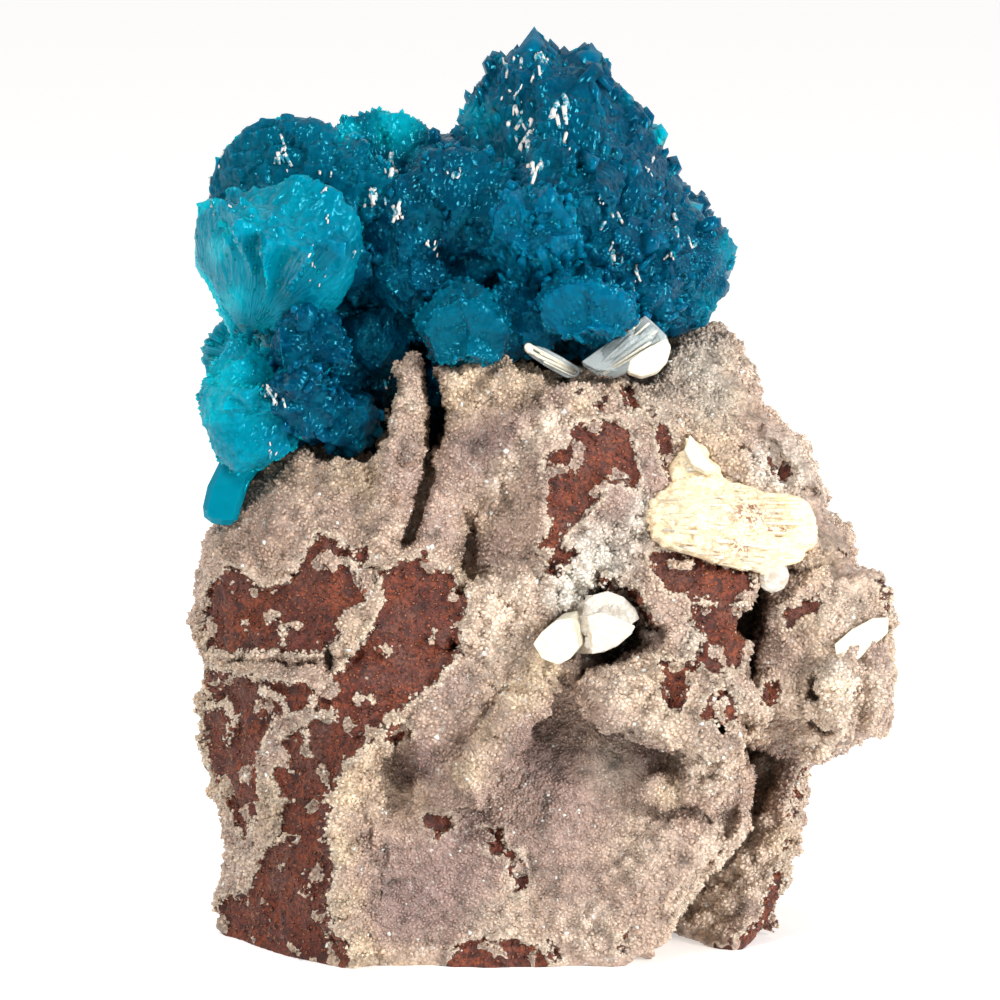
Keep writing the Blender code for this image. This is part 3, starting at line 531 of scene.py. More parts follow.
RED_DARK = (0.036, 0.0065, 0.0035)
RED_MIDDLE = (0.125, 0.0185, 0.0070)
RED_ORANGE = (0.235, 0.046, 0.012)
RED_GREY = (0.150, 0.056, 0.038)
RED_BROWN = (0.210, 0.058, 0.022)
PALE_FLECK = (0.55, 0.45, 0.36)
CRUST_RIM = (0.80, 0.66, 0.50)
# Painted shade between the crust's grains.
SHADE_BETWEEN_GRAINS = (0.12, 0.085, 0.07)
# A painted white sparkle on the crust's grains.
PAINTED_SPARKLE_WHITE = (0.92, 0.88, 0.80)
QUARTZ_IOR = 1.54
PALE_DEPTHS = (1.0, 0.9, 0.8)  # how far red, green and blue light scatter in a pale crystal
BLUE_DEPTHS = (0.05, 0.8, 1.0)
BLUE_SHEEN = (0.05, 0.50, 0.64, 1)
BLUE_CLOUD = (0.0, 0.24, 0.36)
# Painted shade between the tips of the blue crystals.
SHADE_BETWEEN_TIPS = (0.0, 0.02, 0.05)
# A painted white highlight on the glints.
PAINTED_GLINT_WHITE = (0.72, 0.66, 0.62)


def crusted_rock_material():
    made, shader = new_material("crusted_rock", Roughness=0.6, IOR=QUARTZ_IOR)
    fine = noise_node(made, 0.22 * MM, 2)
    ragged = noise_node(made, 0.55 * MM, 4, 0.65)
    bare = stored_value(made, "bare")
    shifted = math_node(made, "ADD", bare, math_node(made, "MULTIPLY", ragged, 0.55))
    worn = noise_node(made, 1.5 * MM, 5, 0.7)
    shifted = math_node(made, "ADD", shifted, math_node(made, "MULTIPLY", worn, 1.1))
    shifted = math_node(made, "SUBTRACT", shifted, 0.82)
    mask = range_node(made, shifted, -0.05, 0.07)

    broad = noise_node(made, 2.6 * MM, 6, 0.6)
    red = mix_colours(made, range_node(made, broad, 0.36, 0.62), RED_MIDDLE, RED_ORANGE)
    darker = noise_node(made, 1.1 * MM, 5, 0.65)
    red = mix_colours(made, range_node(made, darker, 0.50, 0.34), red, RED_DARK)
    greyer = noise_node(made, 4.1 * MM, 4, 0.6)
    red = mix_colours(made, range_node(made, greyer, 0.48, 0.62, 0, 0.75), red, RED_GREY)
    red = mix_colours(made, range_node(made, fine, 0.56, 0.36, 0, 0.75), red, RED_DARK)
    pits = cell_node(made, 0.34 * MM)
    red = mix_colours(made, range_node(made, pits, 0.45, 0.80, 0, 0.6), red, RED_DARK)
    flecks = cell_node(made, 0.75 * MM)
    spared = range_node(made, noise_node(made, 1.7 * MM, 2), 0.58, 0.68)
    fleck = math_node(made, "MULTIPLY", range_node(made, flecks, 0.20, 0.10), spared)
    red = mix_colours(made, fleck, red, PALE_FLECK)

    crust = stored_value(made, "tint", "Color")
    rim = range_node(made, shifted, -0.55, -0.10, 0, 0.6)
    crust = mix_colours(made, rim, crust, CRUST_RIM)
    # The crust darkens between its fine grains: painted shade.
    grain = cell_node(made, 0.24 * MM)
    crust = mix_colours(made, range_node(made, grain, 0.35, 0.75, 0, 0.45), crust, SHADE_BETWEEN_GRAINS)
    # White specks of painted highlight on the crust.
    painted_sparkle = range_node(made, noise_node(made, 0.5 * MM, 4, 0.7), 0.56, 0.70, 0, 0.5)
    crust = mix_colours(made, painted_sparkle, crust, PAINTED_SPARKLE_WHITE)

    link(made, mix_colours(made, mask, crust, red), shader, "Base Color")
    link(made, range_node(made, mask, 0, 1, 0.38, 0.72), shader, "Roughness")
    rough = bump_node(made, fine, 0.16 * MM, 1.0)
    lumpy = bump_node(made, math_node(made, "MULTIPLY", grain, -1.0), 0.10 * MM, 0.8, rough)
    lumpy = bump_node(made, math_node(made, "MULTIPLY", mask, -1.0), 0.30 * MM, 1.0, lumpy)
    link(made, lumpy, shader, "Normal")
    return made


def druse_material():
    """Quartz grains: pale, glassy, in the tint of the crust that they grow on."""
    made, shader = new_material(
        "druse", Roughness=0.25, IOR=QUARTZ_IOR, Subsurface_Weight=0.6, Subsurface_Scale=0.6 * MM
    )
    shader.inputs["Subsurface Radius"].default_value = PALE_DEPTHS
    link(made, stored_value(made, "tint", "Color"), shader, "Base Color")
    return made


def cavansite_material(name, grown):
    """Vivid translucent blue. A spray's body also shows the fine crystals that it's made of, with
    painted shade between their tips.
    """
    made, shader = new_material(
        name, Roughness=0.16, IOR=1.55, Subsurface_Weight=0.8, Subsurface_Scale=1.6 * MM,
    )
    shader.inputs["Subsurface Radius"].default_value = BLUE_DEPTHS
    shader.inputs["Specular Tint"].default_value = BLUE_SHEEN
    tint = stored_value(made, "tint", "Color")
    cloud = noise_node(made, 1.2 * MM, 5, 0.65)
    tint = mix_colours(made, range_node(made, cloud, 0.42, 0.66, 0, 0.16), tint, BLUE_CLOUD)
    fine = bump_node(made, noise_node(made, 0.16 * MM, 3), 0.03 * MM, 0.5)
    if grown:
        place = add_node(
            made, "ShaderNodeMapping", Vector=stored_value(made, "grown", "Vector"),
            Scale=(3.2, 3.2, 0.16),
        ).outputs["Vector"]
        tips = add_node(made, "ShaderNodeTexVoronoi", Vector=place, Scale=1.0).outputs["Distance"]
        # The body darkens between the tips of its fine crystals: painted shade.
        tint = mix_colours(made, range_node(made, tips, 0.30, 0.75, 0, 0.15), tint, SHADE_BETWEEN_TIPS)
        fine = bump_node(made, math_node(made, "MULTIPLY", tips, -1.0), 0.16 * MM, 0.6, fine)
    link(made, tint, shader, "Base Color")
    link(made, fine, shader, "Normal")
    return made


def glint_material():
    """Cleavage faces, which shine white where they turn to the light, with patches of painted white
    highlight.
    """
    made, shader = new_material("cavansite_glints", Roughness=0.2, IOR=1.6)
    tint = stored_value(made, "tint", "Color")
    # Patches of painted white highlight that make the glints whiter.
    painted_glint_patches = range_node(made, noise_node(made, 0.5 * MM, 3), 0.42, 0.56)
    link(made, mix_colours(made, painted_glint_patches, tint, PAINTED_GLINT_WHITE), shader, "Base Color")
    return made


# Narrow gaps and holes in the rock: points along each, width in pixels and depth in mm.
GAPS = [
    ([(434, 346), (435, 400), (432, 440)], 26, 9.0),
    ([(432, 440), (426, 480), (416, 512), (407, 540)], 17, 4.0),
    ([(387, 340), (387, 390), (380, 430), (372, 444)], 25, 9.0),
    ([(204, 656), (243, 659), (262, 658), (285, 666), (310, 665), (328, 662)], 6, 0.5),
    ([(241, 658), (247, 659)], 9, 1.1), ([(283, 665), (289, 666)], 8, 1.1),
    ([(303, 664), (316, 664)], 8, 1.1), ([(329, 648), (330, 668)], 10, 2.5),
    ([(590, 668), (612, 655), (640, 643), (654, 638)], 26, 4.0),
    ([(764, 592), (759, 620), (753, 650), (750, 676)], 15, 4.0),
    ([(770, 446), (778, 462), (786, 484)], 14, 1.0),
    ([(738, 452), (748, 462)], 10, 0.7), ([(760, 432), (761, 440)], 8, 0.7),
    ([(804, 490), (809, 494)], 6, 1.4), ([(814, 682), (816, 698)], 12, 2.0),
    ([(814, 720), (825, 727)], 9, 1.5), ([(752, 752), (764, 780), (756, 806)], 30, 3.0),
    ([(404, 748), (408, 780), (404, 806)], 26, 0.6), ([(364, 826), (364, 846)], 18, 0.8),
    ([(378, 855), (370, 900), (358, 944)], 18, 0.4), ([(590, 686), (612, 722), (664, 742)], 12, 1.6),
    ([(664, 742), (706, 745), (738, 738), (752, 700)], 10, 1.6),
    ([(648, 410), (649, 414)], 7, 1.0), ([(470, 520), (466, 560)], 20, 1.2),
    ([(744, 752), (740, 790), (716, 842), (694, 878), (664, 912)], 15, 1.6),
    ([(760, 575), (800, 572), (838, 556)], 8, 1.2),
]
# Raised ridges and lips: points along each, width in pixels and height in mm.
RIDGES = [
    ([(545, 662), (530, 682), (518, 702), (506, 724), (490, 750), (468, 778)], 28, 1.9),
    ([(432, 786), (452, 788)], 22, 0.8), ([(525, 432), (545, 425), (565, 411), (590, 404)], 20, 0.9),
    ([(520, 440), (510, 460), (492, 488), (480, 512)], 20, 0.7),
    ([(396, 716), (372, 736), (350, 764), (340, 800), (336, 850), (343, 900), (352, 948)], 18, 0.9),
    ([(592, 676), (604, 704), (640, 718), (668, 728), (706, 732), (736, 724), (748, 690)], 14, 0.8),
    ([(655, 790), (684, 794)], 20, 0.7), ([(838, 664), (832, 690), (836, 712)], 18, 1.0),
    ([(868, 655), (870, 690), (866, 718)], 22, 0.8), ([(452, 384), (480, 372), (510, 382)], 24, 0.6),
    ([(722, 690), (704, 704), (708, 730), (734, 732), (744, 708), (730, 690)], 10, 0.7),
    ([(400, 352), (396, 400), (396, 450), (384, 500)], 8, 0.3),
    ([(704, 742), (726, 748), (722, 772), (708, 790), (690, 782)], 14, 0.6),
    ([(441, 642), (452, 648)], 20, 0.7),
]
BOWL = [
    (378, 770), (440, 800), (490, 770), (520, 715), (600, 712), (660, 745), (680, 800),
    (650, 870), (610, 930), (480, 930), (380, 950), (372, 880), (390, 840),
]
ROCK_VOXEL = 0.24 * MM
FRONT_ALLOWANCE = 0.6 * MM
RIDGE_STRENGTH = 1.35
GRAIN_GAPS = {"shown": 0.39, "turned_away": 0.62, "bowl": 0.31, "bare": 0.55}  # in mm
LOWEST_GRAIN = 0.5 * MM
FOOT_BAND = 0.9 * MM  # no grain starts below this height
BLUE_BEGINS = 24 * MM  # below this height no blue crystal can hide a grain
WHITE_GRAINS = 0.012  # the share of grains that are white


def rock_relief_at(points, bare, tint):
    """How far the surface stands out at each point, in mm."""
    px, py, depth = seen_at(points)
    crust = smooth_step(0.10, -0.06, bare)
    lips = np.exp(-(((bare + 0.28) / 0.24) ** 2))
    cream = smooth_step(0.32, 0.46, tint[:, 1]) * crust
    bowl = smooth_step(-8, 22, inside_outline(px, py, BOWL)) * (depth < 0)
    relief = 0.32 * noise_at(points, 2.6 * MM, 0.4) * (1 - 0.7 * bowl)
    relief += 0.20 * noise_at(points, 1.1 * MM, 6.6) * (1 - 0.6 * bowl)
    crinkled = px + 4 * noise_at(points, 0.9 * MM, 7.1), py + 4 * noise_at(points, 0.9 * MM, 9.3)
    shown = 1 - smooth_step(0.5, 3, depth)
    for line, width, height in RIDGES:
        away = distance_to_line(*crinkled, line) / (width / 2)
        relief += RIDGE_STRENGTH * height * shown * np.exp(-(away**2) * 1.6)
    domes = domes_at(points, *LUMPS)
    small_domes = domes_at(points, 0.5 * MM, 4.2)
    knobs = domes_at(points, *KNOBS)
    relief += crust * (0.14 + 0.80 * cream) * domes + crust * (0.12 + 0.20 * cream) * small_domes
    relief += crust * (0.12 + 0.55 * cream) * knobs * (1 - 0.8 * bowl)
    relief += crust * (0.14 + 0.20 * lips) - 0.30 * (1 - crust)
    facets = cells_at(points, 1.7 * MM, 7.4)
    small_facets = cells_at(points, 0.7 * MM, 5.4)
    relief += (1 - crust) * (0.48 * facets + 0.20 * small_facets - 0.3)
    return relief + (1 - crust) * 0.12 * noise_at(points, 0.42 * MM, 3.3)


def gap_depth_at(points):
    """How far the gaps push the surface away from the lens at each point."""
    px, py, depth = seen_at(points)
    px = px + 3 * noise_at(points, 0.9 * MM, 1.1)
    py = py + 3 * noise_at(points, 0.9 * MM, 2.3)
    deepest = np.zeros(len(points))
    for line, width, deep in GAPS:
        away = distance_to_line(px, py, line) / (width / 2)
        deepest = np.maximum(deepest, deep * smooth_step(1.25, 0.75, away))
    return deepest * (1 - smooth_step(-1, 1, depth)) * MM


def thin_out_behind(rock, places):
    """A group of vertices whose weights make the rock lose more of its faces behind."""
    _, _, depth = seen_at(places)
    behind = rock.vertex_groups.new(name="behind")
    for step in range(11):
        group = np.flatnonzero(np.round(10 * smooth_step(-3, 3, depth)) == step)
        behind.add(group.tolist(), 0.1 + 0.09 * step, "REPLACE")


def make_rock():
    """The rock: a finer copy of its solid with crust, bare patches, ridges and gaps in its mesh."""
    rock = copy_of_node("matrix", "crusted_rock")
    apply_modifier(rock, "REMESH", voxel_size=ROCK_VOXEL)
    apply_modifier(rock, "SMOOTH", factor=0.5, iterations=2)
    places = vertices_of(rock)
    bare = bare_rock_at(places)
    relief = rock_relief_at(places, bare, crust_tint_at(places)) * MM
    relief *= smooth_step(0.0, 0.6 * MM, places[:, 2])
    moved = places + normals_of(rock) * relief[:, None]
    moved -= np.outer(gap_depth_at(places), LENS_WAY)
    moved[:, 1] = np.maximum(moved[:, 1], cad_box[0][1] - FRONT_ALLOWANCE)
    moved[:, 2] = np.maximum(moved[:, 2], 0)
    move_vertices(rock, moved)
    faces = sum(len(p.vertices) - 2 for p in rock.data.polygons)
    thin_out_behind(rock, places)
    if faces > PIECE_TRIANGLES:
        apply_modifier(
            rock, "DECIMATE", ratio=PIECE_TRIANGLES / faces, vertex_group="behind",
            vertex_group_factor=1.0,
        )
    places = vertices_of(rock)
    give_value(rock, "bare", bare_rock_at(places))
    give_colour(rock, "tint", crust_tint_at(places))
    select_only(rock)
    bpy.ops.object.shade_smooth()
    rock.data.materials.append(crusted_rock_material())
    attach(rock, "root")
    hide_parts("matrix")
    return rock


def make_druse(rock):
    """Small quartz grains all over the crust, each with eight faces, and red ones on bare rock."""
    dice = np.random.default_rng(5)
    solid = copy_of_node("cavansite", "blue_form")
    blue_tree = tree_of(solid)
    bpy.data.objects.remove(solid)

    def spacing_at(points, ways):
        px, py, depth = seen_at(points)
        bowl = inside_outline(px, py, BOWL) > 0
        turned_away = ways @ LENS_WAY < 0.05
        spacing = np.where(turned_away, GRAIN_GAPS["turned_away"], GRAIN_GAPS["shown"])
        spacing = spacing + 0.8 * smooth_step(2, 5, depth)
        spacing = np.where(bowl & (depth < 0), GRAIN_GAPS["bowl"], spacing)
        spacing[points[:, 2] < FOOT_BAND] = 0
        bare = bare_rock_at(points)
        spacing[bare > 0.0] = GRAIN_GAPS["bare"]
        spacing[(bare > 0.0) & (depth > 3)] = 0
        for i in np.flatnonzero(points[:, 2] > BLUE_BEGINS):
            if depth_inside(blue_tree, Vector(points[i])) > -0.1 * MM:
                spacing[i] = 0
        return spacing * MM

    spots, ways, spacing = scattered_on(rock, spacing_at, dice)
    above = spots[:, 2] > LOWEST_GRAIN
    spots, ways, spacing = spots[above], ways[above], spacing[above]
    tint = crust_tint_at(spots) * dice.uniform(0.9, 1.2, len(spots))[:, None]
    edge = 0.35 * smooth_step(-0.65, -0.1, bare_rock_at(spots))[:, None]
    tint = tint + edge * (np.array(CRUST_RIM) - tint)
    white = dice.uniform(0, 1, len(spots)) < WHITE_GRAINS
    tint[white] = np.array(CRUST_TINTS["white"])
    size = 0.56 * np.minimum(spacing, 0.42 * MM) * dice.uniform(0.55, 1.25, len(spots))
    bare = bare_rock_at(spots) + 0.10 * dice.normal(0, 1, len(spots))
    red = bare > 0.04
    share = dice.uniform(0, 1, (len(spots), 1))
    tint[red] = (np.array(RED_DARK) + share * (np.array(RED_BROWN) - np.array(RED_DARK)))[red]
    size[red] *= 0.7
    size[(bare > -0.25) & ~red] *= 0.8
    points = np.array([
        (1, 0, 0), (0, 1, 0), (-1, 0, 0), (0, -1, 0), (0, 0, 1.25), (0, 0, -1),
    ])
    faces = np.array([
        (0, 1, 4), (1, 2, 4), (2, 3, 4), (3, 0, 4), (1, 0, 5), (2, 1, 5), (3, 2, 5), (0, 3, 5),
    ])
    up = unit(ways + 0.45 * dice.normal(0, 1, ways.shape))
    u = unit(np.cross(up, dice.normal(0, 1, up.shape)))
    v = np.cross(up, u)
    places = np.zeros((len(spots), len(points), 3))
    for i, (x, y, z) in enumerate(points):
        wide = x * dice.uniform(0.7, 1.1, len(spots)), y * dice.uniform(0.7, 1.1, len(spots))
        places[:, i] = spots + size[:, None] * (
            u * wide[0][:, None] + v * wide[1][:, None] + up * (z - 0.15)
        )
    material = druse_material()
    order = np.argsort(spots[:, 0])
    parts = max(1, math.ceil(len(order) * len(faces) / PIECE_TRIANGLES))
    for part, group in enumerate(np.array_split(order, parts)):
        piece = joined_copies(f"druse_{part + 1}", places[group], faces)
        give_colour(piece, "tint", np.repeat(tint[group], len(points), axis=0))
        piece.data.materials.append(material)
        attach(piece, "root")
        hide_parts("matrix")


# Sprays of blue crystals: root, reach of the middle crystal, half angles across and in depth,
# how far the rim of its cap falls back, width of a crystal in mm and tint.
SPRAYS = [
    ((440, 275, 2), (440, 140, -1), 18, 30, 0.08, 0.70, "blue"),
    ((600, 315, -2), (664, 268, -7), 34, 32, 0.20, 0.90, "blue"),
    ((560, 290, 0), (545, 138, -6), 18, 26, 0.20, 1.05, "blue"),
    ((565, 290, 0), (588, 158, -7), 18, 26, 0.20, 1.10, "blue"),
    ((570, 300, -1), (628, 210, -7), 22, 28, 0.20, 1.00, "blue"),
    ((420, 325, 0), (404, 256, -6), 34, 34, 0.24, 0.55, "deep"),
    ((480, 310, 0), (488, 190, -5), 26, 32, 0.16, 0.75, "deep"),
    ((520, 340, -2), (516, 310, -8), 48, 40, 0.22, 0.50, "blue"),
    ((330, 310, -2), (345, 235, -5), 34, 34, 0.18, 0.60, "deep"),
    ((308, 350, -3), (312, 344, -9), 42, 38, 0.22, 0.50, "blue"),
    ((322, 376, -4), (308, 412, -9), 36, 34, 0.22, 0.90, "blue"),
    ((345, 396, -3), (350, 434, -7.5), 40, 34, 0.22, 0.95, "blue"),
    ((380, 335, 0), (372, 352, -5), 44, 40, 0.22, 0.42, "deep"),
    ((560, 300, 2), (590, 120, 4), 26, 26, 0.14, 0.60, "blue"),
    # The next two sprays lie in the gaps beside the fin, and their navy tint is painted shade.
    ((428, 460, 3), (430, 356, -0.5), 24, 30, 0.10, 0.42, "navy_shade"),
    ((378, 476, 3), (382, 346, -1), 16, 24, 0.10, 0.42, "navy_shade"),
    ((570, 230, 2), (575, 170, 12), 44, 40, 0.14, 0.60, "blue"),
    ((640, 260, 2), (668, 236, 11), 40, 36, 0.14, 0.60, "blue"),
    ((480, 270, 4), (470, 215, 12), 40, 36, 0.14, 0.60, "blue"),
    ((390, 270, 5), (380, 216, 13), 36, 36, 0.14, 0.60, "blue"),
    ((300, 260, 4), (285, 210, 12), 40, 36, 0.14, 0.60, "blue"),
    ((270, 370, 3), (240, 350, 10), 40, 36, 0.14, 0.50, "bright"),
    ((310, 370, 4), (305, 340, 12.5), 44, 40, 0.14, 0.60, "blue"),
    ((400, 340, 4), (396, 305, 13), 44, 40, 0.14, 0.60, "blue"),
    ((520, 310, 4), (518, 285, 12.5), 46, 42, 0.14, 0.60, "blue"),
    ((620, 300, 3), (630, 290, 12), 46, 42, 0.14, 0.60, "blue"),
    ((545, 200, 2), (540, 120, 8), 30, 30, 0.14, 0.60, "blue"),
    ((605, 200, 2), (622, 150, 8), 30, 30, 0.14, 0.60, "blue"),
]
# Broad fans: the foot that the outline runs out from, the point that the crystals grow from,
# how far the face bulges in mm, the width of a crystal, the height of the growth steps in mm,
# how ragged the rim is, the tint and the rim.
FANS = [
    ((252, 334, -4), (250, 340, -3.6), 2.0, 0.24, 0.05, 0.02, "bright", [
        (205, 262, -3), (203, 240, -3), (206, 216, -3.5), (219, 212, -4.2), (240, 205, -5.6),
        (265, 190, -7), (300, 182, -8), (334, 193, -8.4), (350, 215, -8), (357, 245, -7.4),
        (349, 275, -7), (335, 298, -6.4), (312, 320, -6),
    ]),
    # A narrow fan along the left edge, in a cyan that is partly painted light shining through it.
    ((240, 330, -3), (250, 340, 0), 0.8, 0.28, 0.05, 0.03, "cyan_edge_glow", [
        (212, 278, -2.5), (203, 255, -2), (202, 232, -2), (204, 210, -2), (220, 206, -2.5),
        (236, 212, -3),
    ]),
    ((288, 402, -5), (290, 400, -3), 1.9, 0.36, 0.12, 0.03, "bright", [
        (246, 334, -5), (228, 352, -5), (211, 378, -5), (206, 398, -5.4), (212, 424, -6),
        (222, 452, -6), (240, 468, -6.6), (268, 464, -7), (296, 450, -7.5),
    ]),
    ((392, 260, 4), (392, 270, 4.5), 1.4, 0.36, 0.10, 0.03, "blue", [
        (330, 160, 2), (334, 136, 2), (342, 126, 2), (366, 118, 2), (400, 122, 2),
        (424, 132, 2), (436, 146, 1), (446, 165, 0),
    ]),
    ((300, 292, 0), (300, 300, 1), 2.4, 0.60, 0.35, 0.02, "teal", [
        (214, 208, -1), (218, 180, -1), (221, 160, -1.2), (235, 142, -1.8), (258, 126, -2.4),
        (286, 124, -2.8), (312, 131, -3), (340, 140, -3.4), (364, 150, -4), (392, 170, -5),
        (412, 200, -5),
    ]),
    ((600, 350, -6), (598, 352, -5), 0.9, 0.40, 0.05, 0.03, "bright_blue", [
        (548, 330, -9), (543, 308, -9.6), (549, 291, -10.2), (572, 282, -10.8),
        (602, 284, -10.8), (626, 297, -10.2), (640, 318, -9.4),
    ]),
    ((470, 378, -5), (468, 376, -3), 0.9, 0.40, 0.05, 0.04, "teal", [
        (430, 356, -8), (426, 330, -8.6), (436, 308, -9.2), (460, 298, -9.6), (484, 303, -9.4),
        (500, 322, -9), (504, 348, -8.4),
    ]),
    ((530, 300, -5), (534, 300, -4), 0.6, 0.80, 0.15, 0.04, "bright_blue", [
        (482, 250, -8), (494, 214, -8.8), (514, 190, -9.4), (528, 208, -9.8), (548, 192, -9.6),
        (566, 216, -9.4), (584, 246, -9),
    ]),
    ((572, 330, -3), (578, 348, -2.5), 4.0, 1.05, 0.20, 0.016, "blue", [
        (454, 190, 0), (462, 146, 0), (474, 114, 0), (488, 88, -0.4), (504, 64, -0.8),
        (518, 52, -1), (536, 40, -1.2), (556, 56, -1.2), (590, 56, -1.2), (606, 80, -1),
        (624, 110, -1), (646, 136, -1), (662, 168, -1), (682, 202, -1), (702, 230, -1.4),
        (726, 250, -1.8), (722, 272, -2), (715, 292, -2.4), (698, 316, -3), (672, 330, -4),
    ]),
    ((440, 330, -1), (446, 335, 1), 2.6, 0.70, 0.12, 0.03, "deep", [
        (352, 300, -3), (366, 240, -4), (396, 190, -5), (436, 160, -5), (480, 160, -5),
        (516, 190, -6), (520, 250, -7),
    ]),
]
# The blue tints: the navy one is painted shade, and the cyan one is partly the crystals' colour and
# partly painted light shining through thin edges.
BLUE_TINTS = {
    "cyan_edge_glow": (0.0, 0.44, 0.54),
    "bright": (0.0, 0.215, 0.30),
    "bright_blue": (0.0, 0.085, 0.165),
    "teal": (0.0, 0.078, 0.132),
    "blue": (0.0, 0.040, 0.088),
    "deep": (0.0, 0.042, 0.088),
    "navy_shade": (0.0, 0.014, 0.040),
}
# Darker hollows with painted shade, and brighter thin rims with painted light shining through: tint,
# px, py, radius in pixels, strength.
BLUE_SHADE_AND_GLOW_SPOTS = [
    ("bright_blue", 488, 110, 22, 0.8), ("teal", 505, 130, 40, 0.6), ("bright_blue", 520, 60, 18, 0.7),
    ("navy_shade", 370, 375, 26, 0.8), ("navy_shade", 460, 250, 34, 0.8), ("navy_shade", 385, 245, 30, 0.8),
    ("navy_shade", 372, 300, 26, 0.6), ("navy_shade", 430, 205, 24, 0.5), ("navy_shade", 510, 340, 18, 0.6),
    ("navy_shade", 545, 225, 20, 0.4), ("navy_shade", 350, 330, 20, 0.5), ("navy_shade", 405, 420, 18, 0.7),
    ("navy_shade", 432, 345, 14, 0.6), ("navy_shade", 606, 180, 24, 0.4), ("navy_shade", 640, 260, 20, 0.4),
    ("navy_shade", 330, 370, 18, 0.4), ("navy_shade", 262, 470, 10, 0.5), ("deep", 235, 200, 12, 0.5),
    ("cyan_edge_glow", 216, 250, 14, 0.7), ("cyan_edge_glow", 232, 300, 14, 0.7), ("cyan_edge_glow", 250, 215, 14, 0.35),
    ("cyan_edge_glow", 222, 380, 22, 0.8), ("cyan_edge_glow", 212, 412, 14, 0.7), ("cyan_edge_glow", 395, 124, 26, 0.7),
    ("cyan_edge_glow", 350, 128, 12, 0.7), ("cyan_edge_glow", 656, 132, 8, 0.8), ("cyan_edge_glow", 678, 162, 6, 0.7),
    ("cyan_edge_glow", 698, 202, 7, 0.6), ("bright", 730, 250, 16, 0.7), ("bright", 468, 112, 12, 0.8),
    ("bright", 600, 48, 12, 0.5), ("bright", 626, 94, 8, 0.5), ("bright", 536, 34, 10, 0.6),
    ("bright_blue", 335, 250, 26, 0.6), ("bright_blue", 330, 205, 24, 0.4),
    ("bright_blue", 300, 290, 22, 0.5), ("bright_blue", 475, 320, 20, 0.4),
    ("teal", 560, 150, 60, 0.3), ("bright_blue", 280, 440, 20, 0.6), ("bright", 480, 115, 20, 0.5),
    ("bright", 260, 230, 20, 0.4), ("bright_blue", 520, 215, 24, 0.6), ("bright", 245, 335, 20, 0.6),
    ("bright_blue", 400, 262, 14, 0.3), ("bright", 710, 305, 14, 0.4),
]
# Places where a flat crystal face is turned to the light: px, py, how many and their size in mm.
GLINTS = [
    (520, 118, 5, 0.9), (527, 140, 5, 1.0), (532, 165, 5, 0.9), (517, 100, 4, 0.6),
    (543, 66, 6, 0.9), (507, 67, 4, 0.6), (515, 88, 3, 0.7), (563, 102, 4, 0.9),
    (558, 114, 3, 0.9), (568, 142, 2, 0.6), (280, 153, 5, 0.7), (286, 165, 3, 0.5),
    (390, 168, 5, 0.8), (372, 197, 6, 0.9), (396, 210, 5, 0.8), (325, 176, 3, 0.6),
    (454, 171, 3, 0.8), (608, 222, 2, 0.6), (612, 250, 3, 0.8), (614, 267, 2, 0.7),
    (632, 282, 4, 0.7), (630, 292, 2, 0.7), (674, 228, 2, 0.8), (268, 393, 4, 0.6),
    (280, 398, 3, 0.5), (262, 388, 3, 0.5), (270, 450, 3, 0.5), (388, 375, 2, 0.5),
    (220, 165, 3, 0.5), (222, 205, 3, 0.5), (430, 245, 4, 0.5), (355, 247, 2, 0.6),
    (648, 165, 3, 0.5), (690, 245, 2, 0.6), (672, 262, 3, 0.5), (250, 218, 2, 0.4),
    (330, 224, 2, 0.6), (312, 262, 3, 0.3), (320, 275, 3, 0.3), (600, 205, 2, 0.3),
]
# Larger crystals: foot, tip, half width in mm, width against thickness and tint.
# The ones from the eleventh on stand along the stepped rim at the right of the peak.
FIRST_ON_RIM = 10
BIG_CRYSTALS = [
    ((533, 84, -2), (535, 27, -1.6), 1.45, 1.1, "bright_blue"),
    ((519, 88, -1), (514, 44, -1.0), 0.85, 1.1, "blue"),
    ((480, 150, 0), (471, 104, 0.4), 0.8, 1.2, "bright"),
    ((470, 170, 0), (456, 128, 0.4), 0.8, 1.2, "teal"),
    ((508, 92, -1), (499, 57, -1.0), 0.7, 1.2, "bright"),
    ((497, 110, -1), (488, 78, -0.6), 0.7, 1.2, "bright"),
    ((562, 90, -2), (564, 46, -1.4), 0.95, 1.2, "blue"),
    ((548, 86, -3), (548, 52, -2.6), 0.8, 1.2, "blue"),
    ((582, 92, -2), (591, 42, -1.6), 1.05, 1.0, "bright_blue"),
    ((590, 98, -2), (606, 62, -1.4), 0.8, 1.2, "blue"),
    ((602, 112, -2), (620, 84, -1.4), 0.8, 1.2, "blue"),
    ((612, 130, -2), (634, 106, -1.4), 0.8, 1.2, "blue"),
    ((622, 156, -1), (655, 122, -0.2), 0.95, 1.5, "bright"),
    ((626, 176, -1), (662, 146, 1.4), 0.85, 1.2, "bright"),
    ((638, 190, -1), (676, 162, -1.6), 0.85, 1.4, "bright"),
    ((645, 210, -1), (688, 186, 0.8), 0.8, 1.2, "bright_blue"),
    ((656, 230, -1), (702, 203, -1.2), 0.9, 1.4, "bright"),
    ((668, 244, -1), (712, 222, 1.0), 0.8, 1.2, "bright_blue"),
    ((682, 258, -2), (738, 246, -2.2), 1.3, 1.6, "bright"),
    ((682, 270, -2), (735, 264, 0.2), 1.0, 1.4, "bright_blue"),
    ((684, 284, -2), (728, 288, -1.6), 1.1, 1.4, "blue"),
    ((676, 300, -3), (718, 306, -2.4), 1.1, 1.4, "blue"),
    ((660, 310, -4), (700, 326, -3.6), 1.3, 1.6, "blue"),
]
